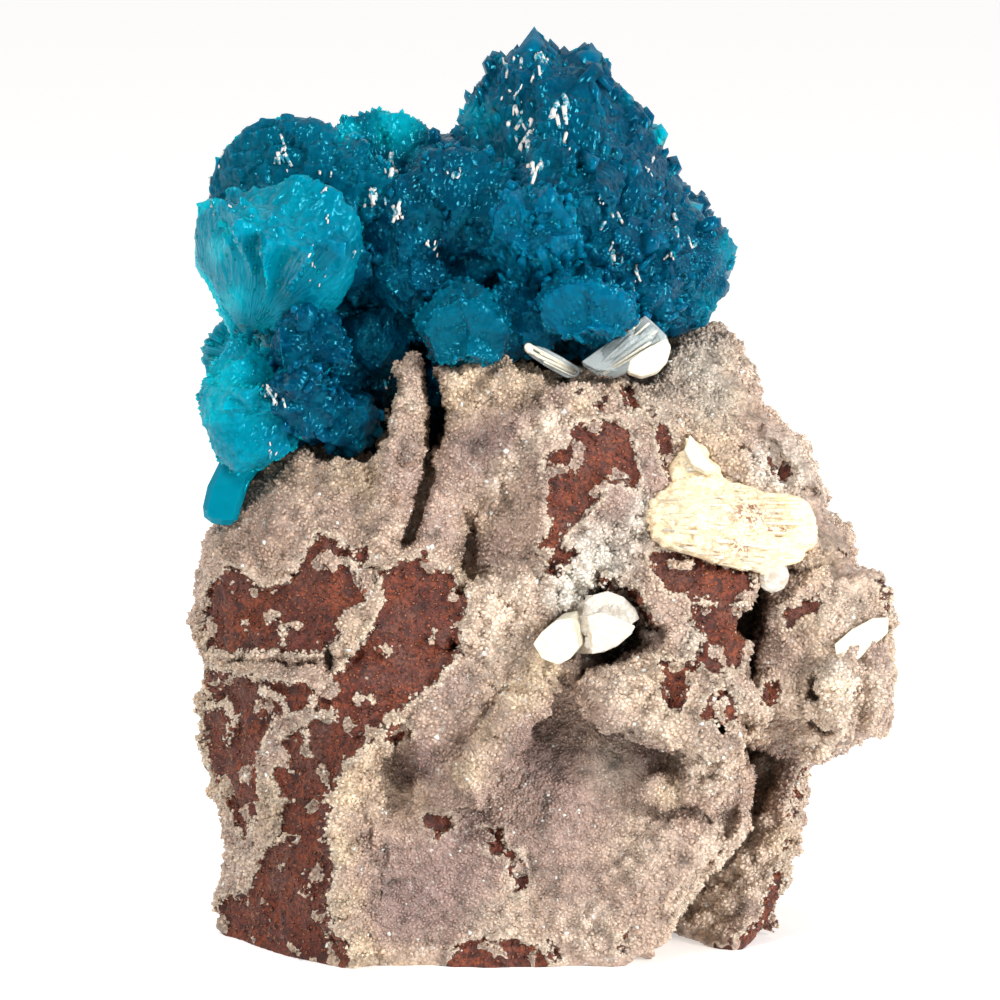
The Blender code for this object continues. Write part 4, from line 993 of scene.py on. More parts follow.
# The flat bright blade at the lower left, seen from the front.
BLADE_DEPTH = -4.2
BLADE_OUTLINE = [
    (228, 446), (266, 452), (262, 466), (250, 482), (241, 510), (237, 525), (222, 525),
    (207, 522), (202, 512), (208, 486), (218, 466),
]
BLUE_VOXEL = 0.275 * MM
BODY_INSET = 0.7 * MM  # how far the CAD form behind the sprays is drawn in
CAP_STARTS = 0.62  # share of the turn from a spray's tip at which its cap ends and its cone begins
FINE_CRYSTALS = 0.29  # mm, the width below which a spray's crystals count as fine
FAN_COLUMNS = 70
FAN_ROWS = 18
TIP_REACH = 0.22  # mm that the body of a spray stays behind the tips of its crystals


def frame_of(spray):
    """Root, middle way, side way, depth way, length and half angles of a spray."""
    root, reach, across, deep = spray[:4]
    root, reach = at(*root), at(*reach)
    axis = (reach - root).normalized()
    view = (at(CENTRE_PX, CENTRE_PX, 1) - at(CENTRE_PX, CENTRE_PX, 0)).normalized()
    side = axis.cross(view)
    if side.length < 0.2:
        side = axis.cross(Vector((0, 0, 1)))
    side.normalize()
    depthwise = side.cross(axis)
    return (
        np.array(root), np.array(axis), np.array(side), np.array(depthwise),
        (reach - root).length, math.radians(across), math.radians(deep),
    )


def spray_body(spray, number):
    """The filled form of a spray: a ball drawn out into a cone with a domed cap."""
    root, axis, side, depthwise, length, across, deep = frame_of(spray)
    bpy.ops.mesh.primitive_uv_sphere_add(segments=36, ring_count=26, radius=1)
    body = bpy.context.object
    ball = vertices_of(body)
    steep = np.arccos(np.clip(ball[:, 2], -1, 1)) / math.pi
    turn = np.arctan2(ball[:, 1], ball[:, 0])
    ring = np.clip(steep / CAP_STARTS, 0, 1)
    sideways = across * ring * np.cos(turn)
    inward = deep * ring * np.sin(turn)
    ways = unit(axis + np.outer(np.tan(sideways), side) + np.outer(np.tan(inward), depthwise))
    cap, cone = 1 - spray[4] * ring**3, (1 - spray[4]) * (1 - steep) / (1 - CAP_STARTS)
    share = np.where(steep < CAP_STARTS, cap, cone)
    uneven = noise_at(ways, 0.22, number) * 0.05 + noise_at(ways, 0.09, number) * 0.03
    reach = length * share * (1 + uneven) - TIP_REACH * MM
    move_vertices(body, root + ways * np.maximum(reach, 0.02 * length)[:, None])
    return body


def fan_body(fan, number):
    """The filled form of a fan: a sheet from its foot to its rim that bulges to the front."""
    foot, _, bulge, _, _, ragged, _, rim = fan
    foot = np.array(at(*foot))
    bpy.ops.mesh.primitive_grid_add(x_subdivisions=FAN_COLUMNS, y_subdivisions=FAN_ROWS, size=2)
    body = bpy.context.object
    sheet = vertices_of(body)
    across, share = (sheet[:, 0] + 1) / 2, (sheet[:, 1] + 1) / 2
    steps = np.linspace(0, 1, len(rim))
    px, py, depth = (np.interp(across, steps, [row[k] for row in rim]) for k in range(3))
    edge = np.array([at(*spot) for spot in zip(px, py, depth)])
    column = np.round(across * FAN_COLUMNS).astype(int)
    uneven = np.random.default_rng(number + 20).uniform(-ragged, ragged, FAN_COLUMNS + 2)[column]
    reach = (0.04 + 0.96 * share) * (1 + uneven * share)
    swell = np.sin(math.pi * share**1.25) ** 0.8
    swell = swell * np.sin(math.pi * np.clip(across, 0.02, 0.98)) ** 0.5
    places = foot + (edge - foot) * reach[:, None]
    places += np.outer(bulge * swell * MM, LENS_WAY)
    move_vertices(body, places)
    apply_modifier(body, "SOLIDIFY", thickness=1.6 * MM, offset=0)
    return body


def middle_of_rim(fan):
    """The average of the points along a fan's rim, as (px, py, depth)."""
    rim = fan[7]
    return tuple(sum(row[k] for row in rim) / len(rim) for k in range(3))


def growth_at(points, tree, owners, frames):
    """For each point the spray or fan that it's part of, and its place within that."""
    chosen = np.array([owners[tree.find_nearest(Vector(point))[2]] for point in points])
    root, axis, side, depthwise = (np.array([f[k] for f in frames])[chosen] for k in range(4))
    length = np.array([f[4] for f in frames])[chosen]
    away = points - root
    along = np.maximum(np.sum(away * axis, axis=1), 0.2 * MM)
    sideways = np.arctan2(np.sum(away * side, axis=1), along)
    inward = np.arctan2(np.sum(away * depthwise, axis=1), along)
    reach = np.linalg.norm(away, axis=1)
    return chosen, np.stack([sideways * length, inward * length, reach], axis=1)


def place_in(points, frame_here):
    """Places within one spray: two turns, drawn out to its length, and the reach."""
    root, axis, side, depthwise, length = frame_here[:5]
    away = points - root
    along = np.maximum(away @ axis, 0.2 * MM)
    sideways, inward = np.arctan2(away @ side, along), np.arctan2(away @ depthwise, along)
    return np.stack([sideways * length, inward * length, np.linalg.norm(away, axis=1)], axis=1)


def bundles_at(places, width, drawn_out):
    """Distance to the middle of a drawn-out bundle, and a random height for each bundle."""
    scale = np.array([1 / width, 1 / width, 1 / (width * drawn_out)])
    near = np.zeros(len(places))
    level = np.zeros(len(places))
    for i, place in enumerate(places * scale):
        distances, centres = noise.voronoi(Vector(place))
        near[i] = distances[0]
        x, y, z = centres[0]
        level[i] = math.sin(x * 12.9898 + y * 78.233 + z * 37.719) * 43758.5453 % 1
    return near, level


def blue_tint_at(points, colour):
    """The colour of the blue crystals at each point, from the colour of their spray, with painted shade
    in hollows and painted light at thin rims.
    """
    px, py, depth = seen_at(points)
    px = px + 7 * noise_at(points, 1.4 * MM, 2.1)
    py = py + 7 * noise_at(points, 1.4 * MM, 4.9)
    return with_spots(colour, px, py, 1 - smooth_step(2, 6, depth), BLUE_SHADE_AND_GLOW_SPOTS, BLUE_TINTS)


def pointed_crystal(sides):
    """One crystal, modelled once: unit radius, its foot at 0, its shoulder at 1 and its point at 2."""
    bpy.ops.mesh.primitive_cylinder_add(vertices=sides, radius=1, depth=1, end_fill_type="NGON")
    crystal = bpy.context.object
    bpy.ops.object.mode_set(mode="EDIT")
    bpy.ops.mesh.select_all(action="DESELECT")
    bpy.ops.object.mode_set(mode="OBJECT")
    for face in crystal.data.polygons:
        face.select = face.normal.z > 0.5
    bpy.ops.object.mode_set(mode="EDIT")
    bpy.ops.mesh.extrude_region_move(TRANSFORM_OT_translate={"value": (0, 0, 1)})
    bpy.ops.mesh.merge(type="CENTER")
    bpy.ops.mesh.select_all(action="SELECT")
    bpy.ops.mesh.quads_convert_to_tris()
    bpy.ops.object.mode_set(mode="OBJECT")
    points = vertices_of(crystal) + np.array((0, 0, 0.5))
    # Extruding can leave the faces in another order each time, so they are sorted.
    faces = np.array(sorted(tuple(p.vertices) for p in crystal.data.polygons))
    bpy.data.objects.remove(crystal)
    return points, faces


def joined_copies(name, places, faces):
    """One mesh of many copies: places holds each copy's vertices, and faces the triangles of one."""
    copies, each = places.shape[:2]
    mesh = bpy.data.meshes.new(name)
    mesh.vertices.add(copies * each)
    mesh.vertices.foreach_set("co", places.astype(np.float32).ravel())
    corners = (faces[None] + np.arange(copies)[:, None, None] * each).ravel()
    mesh.loops.add(len(corners))
    mesh.loops.foreach_set("vertex_index", corners.astype(np.int32))
    mesh.polygons.add(len(corners) // 3)
    mesh.polygons.foreach_set("loop_start", np.arange(0, len(corners), 3, dtype=np.int32))
    mesh.update(calc_edges=True)
    mesh.validate()
    piece = bpy.data.objects.new(name, mesh)
    bpy.context.scene.collection.objects.link(piece)
    return piece


def unit(vectors):
    """Vectors of length one that point the same ways."""
    return vectors / np.maximum(np.linalg.norm(vectors, axis=-1, keepdims=True), 1e-12)


def triangles_of(piece):
    """Corners, normal and area of each triangle of a piece."""
    mesh = piece.data
    mesh.calc_loop_triangles()
    corners = np.zeros(len(mesh.loop_triangles) * 3, np.int32)
    mesh.loop_triangles.foreach_get("vertices", corners)
    spots = vertices_of(piece)[corners.reshape(-1, 3)]
    across = np.cross(spots[:, 1] - spots[:, 0], spots[:, 2] - spots[:, 0])
    return spots, unit(across), np.linalg.norm(across, axis=1) / 2


def scattered_on(piece, spacing_at, dice):
    """Points spread over a piece, about as far apart as asked, with the surface's ways there."""
    spots, ways, areas = triangles_of(piece)
    spacing = spacing_at(spots.mean(axis=1), ways)
    wanted = np.where(spacing > 0, 2.2 * areas / np.maximum(spacing, 1e-6) ** 2, 0)
    counts = np.floor(wanted + dice.uniform(0, 1, len(wanted))).astype(int)
    owner = np.repeat(np.arange(len(spots)), counts)
    a, b = dice.uniform(0, 1, (2, len(owner)))
    flip = a + b > 1
    a, b = np.where(flip, 1 - a, a), np.where(flip, 1 - b, b)
    first, second, third = spots[owner, 0], spots[owner, 1], spots[owner, 2]
    points = first + a[:, None] * (second - first) + b[:, None] * (third - first)
    cells = np.floor(points / (0.8 * spacing[owner])[:, None]).astype(np.int64)
    _, kept = np.unique(cells, axis=0, return_index=True)
    kept = np.sort(kept)
    return points[kept], ways[owner[kept]], spacing[owner[kept]]


def make_crystals(name, shape, feet, tips, half, broad, flat, tint, dice):
    """Crystals as one piece: feet, tips, half widths, width against thickness, side ways, tints."""
    points, faces = shape
    axis = unit(tips - feet)
    u = unit(flat - axis * np.sum(flat * axis, axis=1, keepdims=True))
    v = np.cross(axis, u)
    length = np.linalg.norm(tips - feet, axis=1)
    point_height = np.minimum(half * dice.uniform(0.8, 1.6, len(feet)), 0.8 * length)
    places = np.zeros((len(feet), len(points), 3))
    stretch = np.sqrt(broad)
    for i, (x, y, z) in enumerate(points):
        if z > 1.5:
            lean = dice.uniform(-0.35, 0.35, (2, len(feet))) * half
            places[:, i] = tips + u * lean[0][:, None] + v * lean[1][:, None]
            continue
        girth = half * (0.7 if z < 0.5 else 1.0)
        high = (length - point_height * dice.uniform(0.8, 1.2, len(feet))) * (0 if z < 0.5 else 1)
        places[:, i] = (
            feet + axis * high[:, None] + u * (x * girth * stretch)[:, None]
            + v * (y * girth / stretch)[:, None]
        )
    piece = joined_copies(name, places, faces)
    give_colour(piece, "tint", np.repeat(tint, len(points), axis=0))
    return piece


def square_crystal():
    """A crystal with four sides whose faces point straight along its side ways."""
    points, faces = pointed_crystal(4)
    turned = points.copy()
    root = math.sqrt(0.5)
    turned[:, 0] = root * (points[:, 0] - points[:, 1])
    turned[:, 1] = root * (points[:, 0] + points[:, 1])
    return turned, faces


def finish_blue(piece, material):
    """Gives a blue piece its material and its place in the specimen."""
    piece.data.materials.append(material)
    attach(piece, "root")
    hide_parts("cavansite")


def make_sprays(material):
    """The body of all sprays together, with bundles of fine crystals on it."""
    inner = copy_of_node("cavansite", "cavansite_sprays")
    move_vertices(inner, vertices_of(inner) - normals_of(inner) * BODY_INSET)
    bodies = [spray_body(spray, number) for number, spray in enumerate(SPRAYS)]
    bodies += [fan_body(fan, number) for number, fan in enumerate(FANS)]
    owners = np.repeat(np.arange(len(bodies)), [len(body.data.polygons) for body in bodies])
    select_only(*bodies)
    bpy.ops.object.join()
    tree = tree_of(bodies[0])
    select_only(inner, bodies[0])
    bpy.ops.object.join()
    apply_modifier(inner, "REMESH", voxel_size=BLUE_VOXEL)
    frames = [frame_of(spray) for spray in SPRAYS]
    frames += [frame_of((fan[1], middle_of_rim(fan), 60, 60)) for fan in FANS]
    kinds = [(spray[5], 0.1, spray[6]) for spray in SPRAYS]
    kinds += [(fan[3], fan[4], fan[6]) for fan in FANS]

    places = vertices_of(inner)
    chosen, place = growth_at(places, tree, owners, frames)
    width = np.array([kind[0] for kind in kinds])[chosen]
    ledge = np.array([kind[1] for kind in kinds])[chosen]
    coarse = np.clip((width - 0.10) / 0.44, 0.25, 1)
    near, level = bundles_at(place / MM, 2.6, 5)
    relief = coarse * (0.85 * (level - 0.5) + 0.30 * (0.45 - near))
    near, level = bundles_at(place / MM + 7.3, 1.3, 6)
    relief += coarse * (0.35 * (level - 0.5) + 0.15 * (0.45 - near))
    waves = place[:, 2] / MM / 1.1 + 0.8 * noise_at(places, 3 * MM, 6.1)
    relief += ledge * (waves % 1 - 0.5) + 0.35 * noise_at(places, 3.2 * MM, 3.3)
    move_vertices(inner, places + normals_of(inner) * relief[:, None] * 0.8 * MM)
    select_only(inner)
    bpy.ops.object.shade_smooth_by_angle(angle=math.radians(28))
    give_growth(inner, place)
    own = np.array([BLUE_TINTS[kind[2]] for kind in kinds])
    give_colour(inner, "tint", blue_tint_at(places, own[chosen]))
    finish_blue(inner, material)
    return inner, (tree, owners, frames), kinds


def make_cavansite():
    """All blue pieces: the sprays, the small and large crystals, the glints and the blade."""
    dice = np.random.default_rng(11)
    rock_form = copy_of_node("matrix", "rock_form")
    rock_tree = tree_of(rock_form)
    bpy.data.objects.remove(rock_form)
    body_material = cavansite_material("cavansite_sprays", True)
    crystal_material = cavansite_material("cavansite_crystals", False)
    sprays, growth, kinds = make_sprays(body_material)
    widths = np.array([kind[0] for kind in kinds])
    own = np.array([BLUE_TINTS[kind[2]] for kind in kinds])

    def spacing_at(points, ways):
        chosen, _ = growth_at(points, *growth)
        _, _, depth = seen_at(points)
        free = np.array([depth_inside(rock_tree, Vector(p)) < 0.2 * MM for p in points])
        hidden = ways @ LENS_WAY < -0.1
        fine = widths[chosen] < FINE_CRYSTALS
        spacing = 0.30 + 0.85 * widths[chosen] + np.where(fine, 0.55, 0) - np.where(hidden, 0.1, 0)
        spacing = spacing * (1 + 0.25 * smooth_step(2, 7, depth)) * MM
        return np.where(free, spacing, 0)

    spots, ways, spacing = scattered_on(sprays, spacing_at, dice)
    chosen, _ = growth_at(spots, *growth)
    roots = np.array([f[0] for f in growth[2]])[chosen]
    outward = unit(spots - roots)
    facing = np.sum(outward * ways, axis=1, keepdims=True)
    outward = unit(outward + ways * np.maximum(0.06 - facing, 0))
    outward = unit(outward + 0.08 * dice.normal(0, 1, outward.shape))
    half = 0.5 * widths[chosen] * dice.uniform(0.45, 1.2, len(spots)) * MM
    edge_on = smooth_step(0.14, -0.22, ways @ LENS_WAY)
    stands = half * (dice.uniform(-0.2, 0.8, len(spots)) + 1.5 * edge_on)
    tips = spots + outward * stands[:, None]
    feet = tips - outward * (stands + 4 * half)[:, None]
    tint = blue_tint_at(spots, own[chosen]) * dice.uniform(0.9, 1.25, len(spots))[:, None]
    side = unit(np.cross(outward, LENS_WAY)) + 0.45 * dice.normal(0, 1, outward.shape)
    broad = dice.uniform(0.9, 2.4, len(spots))
    order = np.argsort(spots[:, 0])
    shape = square_crystal()
    parts = max(1, math.ceil(len(order) * len(shape[1]) / PIECE_TRIANGLES))
    for part, group in enumerate(np.array_split(order, parts)):
        small = make_crystals(
            f"cavansite_points_{part + 1}", shape, feet[group], tips[group], half[group],
            broad[group], side[group], tint[group], dice,
        )
        finish_blue(small, crystal_material)

    rows = list(BIG_CRYSTALS)
    for behind in (2.2, 4.6):
        for foot, tip, half, broad, _ in BIG_CRYSTALS[FIRST_ON_RIM:]:
            shift = dice.uniform(-6, 2, 2)
            tip = (tip[0] + shift[0], tip[1] - shift[1], tip[2] + behind + dice.uniform(-0.8, 0.8))
            rows.append(((foot[0], foot[1], foot[2] + behind), tip, 0.9 * half, broad, "blue"))
    feet = np.array([at(*row[0]) for row in rows])
    tips = np.array([at(*row[1]) for row in rows])
    half = np.array([row[2] for row in rows]) * MM
    broad = np.array([row[3] for row in rows])
    tint = np.array([BLUE_TINTS[row[4]] for row in rows])
    side = np.cross(unit(tips - feet), LENS_WAY)
    big = make_crystals(
        "cavansite_large", pointed_crystal(6), feet, tips, half, broad, side, tint, dice
    )
    finish_blue(big, crystal_material)
    make_glints(tree_of(sprays), dice)
    make_blade(crystal_material)


def make_glints(tree, dice):
    """Flat crystal faces that are turned halfway between the lens and the key light."""
    lens = np.array(LENS_PLACE)
    feet, tips, half, faces = [], [], [], []
    for px, py, count, size in GLINTS:
        for _ in range(round(1.5 * count)):
            x = px + dice.normal(0, 5)
            y = py + dice.normal(0, 6)
            way = at(x, y, 0) - Vector(lens)
            found, _, _, _ = tree.ray_cast(Vector(lens), way.normalized())
            if found is None or (found - at(x, y, 0)).length > 16 * MM:
                continue
            spot = np.array(found)
            to_light = unit(np.array(KEY_PLACE) - spot)
            to_lens = unit(lens - spot)
            turned = unit(to_light + to_lens + 0.05 * dice.normal(0, 1, 3))
            along = np.array([0.25 * dice.normal(), 0, 1]) + 0.2 * dice.normal(0, 1, 3)
            along = unit(along - turned * (along @ turned))
            width = 0.26 * size * dice.uniform(0.45, 1.1) * MM
            middle = spot + turned * (0.10 * MM - width * 0.6)
            reach = width * dice.uniform(1.2, 3.6)
            feet.append(middle - along * reach)
            tips.append(middle + along * reach)
            half.append(width)
            faces.append(turned)
    count = len(feet)
    piece = make_crystals(
        "cavansite_glints", square_crystal(), np.array(feet), np.array(tips), np.array(half),
        np.full(count, 1.0), np.array(faces), np.tile(BLUE_TINTS["bright"], (count, 1)), dice,
    )
    finish_blue(piece, glint_material())


def flat_crystal(name, outline, thickness, bevel, segments):
    """A flat crystal: an outline of (px, py, depth) points given a thickness and bevelled edges."""
    bpy.ops.mesh.primitive_circle_add(vertices=len(outline), radius=1, fill_type="NGON")
    piece = bpy.context.object
    piece.name = piece.data.name = name
    move_vertices(piece, np.array([at(*point) for point in outline]))
    apply_modifier(piece, "SOLIDIFY", thickness=thickness * MM, offset=0)
    face_outwards(piece)
    apply_modifier(piece, "BEVEL", width=bevel * MM, segments=segments, limit_method="ANGLE")
    return piece


def make_blade(material):
    """The flat blade, which falls back on both sides of its ridge."""
    outline = [(px, py, BLADE_DEPTH) for px, py in BLADE_OUTLINE]
    blade = flat_crystal("cavansite_blade", outline, 2.2, 0.45, 1)
    places = vertices_of(blade)
    px, _, _ = seen_at(places)
    fallen = np.clip((px - 240) * 0.07, 0, 1.6) - np.clip((px - 202) * 0.01, 0, 0.4)
    move_vertices(blade, places - np.outer(fallen * MM, LENS_WAY))
    apply_modifier(blade, "TRIANGULATE", quad_method="BEAUTY")
    give_colour(blade, "tint", np.tile(BLUE_TINTS["bright"], (len(blade.data.vertices), 1)) * 0.85)
    finish_blue(blade, material)


STILBITE_SPREAD = (30, 30)  # half angles, in degrees, that its fibres fan out to
SPECK_BROWN = (0.20, 0.055, 0.02)


def stilbite_material(name, colour, streak, clear, roughness):
    """Pearly to clear, with fine streaks along the way that the crystals grow."""
    made, shader = new_material(
        name, Roughness=roughness, IOR=1.5, Transmission_Weight=clear,
        Subsurface_Weight=0.3 * (1 - clear), Subsurface_Scale=0.8 * MM,
    )
    shader.inputs["Subsurface Radius"].default_value = PALE_DEPTHS
    place = add_node(
        made, "ShaderNodeMapping", Vector=stored_value(made, "grown", "Vector"), Scale=(4, 4, 0.2)
    ).outputs["Vector"]
    fibres = add_node(
        made, "ShaderNodeTexNoise", Vector=place, Scale=1.0, Detail=4.0, Roughness=0.6
    ).outputs["Fac"]
    tint = mix_colours(made, range_node(made, fibres, 0.40, 0.60), colour, streak)
    specks = range_node(made, noise_node(made, 0.42 * MM, 3, 0.7), 0.50, 0.55)
    spotted = math_node(made, "MULTIPLY", specks, stored_value(made, "specks"))
    tint = mix_colours(made, spotted, tint, SPECK_BROWN)
    link(made, tint, shader, "Base Color")
    link(made, bump_node(made, fibres, 0.12 * MM, 0.7), shader, "Normal")
    return made


def finish_stilbite(piece, group, material, specks=()):
    """Gives a stilbite its growing ways, specks and material."""
    node, root, reach = STILBITE_GROUPS[group]
    places = vertices_of(piece)
    give_growth(piece, place_in(places, frame_of((root, reach, *STILBITE_SPREAD))))
    px, py, _ = seen_at(places)
    share = np.zeros(len(places))
    for x, y, radius, strength in specks:
        share = np.maximum(share, strength * np.exp(-((px - x) ** 2 + (py - y) ** 2) / radius**2))
    give_value(piece, "specks", share)
    piece.data.materials.append(material)
    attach(piece, "root")
    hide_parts(node)


def outlined_crystal(name, outline, thickness, bevel):
    """A finished flat crystal, all in triangles."""
    piece = flat_crystal(name, outline, thickness, bevel, 2)
    apply_modifier(piece, "TRIANGULATE", quad_method="BEAUTY")
    return piece


def laths(name, count, feet, tips, half, broad, bulge, dice):
    """Thin crystals side by side. Their feet and tips are spread along two lines of points."""
    def along(line, share):
        steps = np.linspace(0, 1, len(line))
        return np.stack([np.interp(share, steps, [row[k] for row in line]) for k in range(3)], axis=1)
    share = (np.arange(count) + dice.uniform(0, 1, count)) / count
    start, end = along(feet, share), along(tips, share)
    reach = dice.uniform(0.72, 1.0, count)
    end = start + (end - start) * reach[:, None]
    raised = bulge * np.sin(math.pi * share) ** 0.7 * np.sin(math.pi * (0.25 + 0.5 * reach))
    end[:, 2] -= raised + dice.uniform(0, 0.25, count)
    start[:, 2] -= 0.3 * raised
    start = np.array([at(*spot) for spot in start])
    end = np.array([at(*spot) for spot in end])
    girth = half * dice.uniform(0.7, 1.3, count) * MM
    side = np.cross(unit(end - start), LENS_WAY) + 0.2 * dice.normal(0, 1, (count, 3))
    tint = np.ones((count, 3))
    return make_crystals(
        name, square_crystal(), start, end, girth, np.full(count, broad), side, tint, dice
    )


def laths_on(name, tree, count, feet, tips, half, lift, dice):
    """Thin crystals that lie along a form, between a line of feet and a line of tips in pixels."""
    lens = LENS_PLACE
    starts, ends = [], []
    for _ in range(count):
        share = dice.uniform(0, 1)
        low = dice.uniform(-0.05, 0.8)
        spots = []
        for reach in (low, low + dice.uniform(0.12, 0.34)):
            line = [np.interp(share, np.linspace(0, 1, len(row)), [p[k] for p in row])
                    for row in (feet, tips) for k in (0, 1)]
            x = line[0] + (line[2] - line[0]) * reach
            y = line[1] + (line[3] - line[1]) * reach
            found = tree.ray_cast(lens, (at(x, y, 0) - lens).normalized())[0]
            if found is not None:
                spots.append(np.array(found))
        if len(spots) == 2 and np.linalg.norm(spots[1] - spots[0]) < 5 * MM:
            starts.append(spots[0])
            ends.append(spots[1])
    starts, ends = np.array(starts), np.array(ends)
    raised = LENS_WAY * MM
    starts = starts + raised * (lift - 0.30)
    ends = ends + raised * dice.uniform(0.2, 1, (len(ends), 1)) * lift
    girth = half * dice.uniform(0.5, 1.4, len(ends)) * MM
    side = np.cross(unit(ends - starts), LENS_WAY) + 0.3 * dice.normal(0, 1, ends.shape)
    return make_crystals(
        name, square_crystal(), starts, ends, girth, dice.uniform(0.8, 2, len(ends)), side,
        np.ones(ends.shape), dice,
    )


# Each group of stilbites: its node and the line that it grows along, as (px, py, depth) points.
STILBITE_GROUPS = {
    "sheaf": ("stilbite_sheaf_right", (628, 520, -8), (806, 525, -9)),
    "fan": ("stilbite_fan_top", (590, 378, -7), (668, 330, -9)),
    "lath": ("stilbite_blade_top", (590, 380, -6), (524, 344, -7.4)),
    "white_block": ("stilbite_block_middle", (600, 590, -9), (560, 650, -14)),
    "clear_block": ("stilbite_block_middle", (606, 585, -9), (600, 650, -13)),
    "top_block": ("stilbite_block_middle", (612, 575, -9), (600, 640, -12)),
    "wedge": ("stilbite_wedge_right", (880, 620, 0), (840, 655, -12)),
}
# Colour, colour of the streaks, transmission and roughness.
STILBITE_FINISHES = {
    "clear": ((0.74, 0.88, 0.90), (0.95, 0.98, 0.96), 0.62, 0.12),
    "milky": ((0.78, 0.68, 0.56), (0.95, 0.90, 0.80), 0.3, 0.2),
    "white": ((0.72, 0.66, 0.52), (0.90, 0.84, 0.68), 0.0, 0.2),
    "cream": ((0.86, 0.65, 0.39), (0.97, 0.83, 0.59), 0.0, 0.25),
}
# Brown specks on the sheaf: px, py, radius in pixels, strength.
SHEAF_SPECKS = [
    (750, 512, 20, 1.0), (782, 532, 8, 1.0), (742, 548, 14, 0.9), (720, 548, 20, 0.5),
    (640, 530, 26, 0.5),
]
SHEAF_FEET = [(684, 452), (640, 500), (634, 522), (652, 552), (700, 566)]
SHEAF_TIPS = [(706, 440), (764, 484), (806, 504), (818, 530), (806, 558), (770, 580), (720, 560)]
# Fibres that lie on the sheaf: count, half width, how far they lift off in mm and finish.
SHEAF_LATHS = {
    "stilbite_sheaf_laths": (260, 0.17, 0.08, "cream"),
    "stilbite_sheaf_pale": (70, 0.14, 0.12, "white"),
}
FAN_FEET = [(584, 366, -8.0), (596, 374, -8.6), (612, 376, -9.2)]
FAN_TIPS = [(622, 334, -8.4), (646, 316, -8.6), (658, 326, -8.9), (669, 338, -9.2), (662, 352, -9.5)]
# The other stilbites, in two kinds. A flat one has its outline, thickness and bevel in mm, and a
# bundle of laths its count, feet, tips, half width, width against thickness and bulge.
SMALL_STILBITES = {
    "stilbite_sheaf_flake": ("sheaf", "white", [
        (690, 436, -10), (698, 446, -10.6), (706, 460, -11), (716, 470, -11.2), (706, 474, -11.4),
        (692, 466, -11.2), (684, 452, -10.6),
    ], 0.9, 0.15),
    "stilbite_sheaf_foot": ("sheaf", "milky", [
        (756, 566, -9.4), (768, 560, -9.8), (784, 562, -9.6), (790, 572, -9.2), (784, 586, -9),
        (770, 591, -9), (758, 584, -9.2),
    ], 2.2, 0.6),
    "stilbite_fan_clear": ("fan", "clear", [
        (646, 317, -8.2), (658, 328, -8.4), (668, 338, -8.6), (660, 352, -8.8), (640, 366, -9),
        (618, 374, -9), (596, 372, -8.6), (582, 364, -8.2), (600, 351, -8), (624, 336, -8),
    ], 1.0, 0.12),
    "stilbite_fan_laths": ("fan", "clear", 16, FAN_FEET, FAN_TIPS, 0.26, 1.3, 0.5),
    "stilbite_fan_pale": ("fan", "white", 7, FAN_FEET, FAN_TIPS, 0.13, 1.0, 0.7),
    "stilbite_fan_face": ("fan", "white", [
        (666, 339, -9.4), (671, 348, -9.6), (667, 362, -9.8), (657, 373, -10), (641, 378, -10),
        (627, 373, -9.8), (630, 361, -9.8), (645, 351, -9.8),
    ], 1.2, 0.16),
    "stilbite_lath": ("lath", "clear", [
        (524, 347, -7.4), (528, 343, -7.4), (545, 348, -7.4), (562, 357, -7.2), (580, 368, -6.8),
        (578, 377, -6.8), (566, 378, -7), (548, 368, -7.2), (531, 357, -7.4),
    ], 0.8, 0.16),
    "stilbite_lath_edges": (
        "lath", "white", 5, [(578, 370, -7.2), (572, 376, -7.4)],
        [(532, 343, -7.9), (526, 350, -7.9), (536, 358, -7.9)], 0.12, 1.0, 0.0,
    ),
    "stilbite_lath_tip": ("lath", "white", [
        (523, 347, -7.6), (527, 342, -7.6), (534, 345, -7.6), (533, 354, -7.6), (527, 354, -7.6),
    ], 1.0, 0.2),
    "stilbite_block_white": ("white_block", "white", [
        (537, 640, -13.0), (546, 628, -13.4), (560, 617, -13.6), (574, 614, -13.6),
        (579, 626, -13.8), (583, 644, -13.6), (574, 655, -13.4), (562, 661, -13.2), (546, 655, -13),
    ], 3.4, 0.12),
    "stilbite_block_clear": ("clear_block", "milky", [
        (579, 616, -12.6), (594, 612, -12.4), (612, 618, -12), (628, 626, -11.6), (624, 634, -11.6),
        (610, 646, -12), (596, 652, -12.4), (584, 654, -12.8), (583, 636, -12.8),
    ], 3.0, 0.12),
    "stilbite_block_top": ("top_block", "milky", [
        (578, 606, -11.8), (588, 598, -11.6), (602, 594, -11.2), (618, 600, -10.8),
        (630, 612, -10.6), (634, 622, -10.8), (622, 630, -11.2), (606, 626, -11.6),
        (590, 620, -11.8),
    ], 2.4, 0.12),
    "stilbite_block_columns": (
        "clear_block", "milky", 9, [(590, 596, -12.4), (622, 606, -11.8)],
        [(583, 654, -13.8), (600, 652, -13.8), (628, 632, -12.6)], 0.42, 1.6, 0.0,
    ),
}


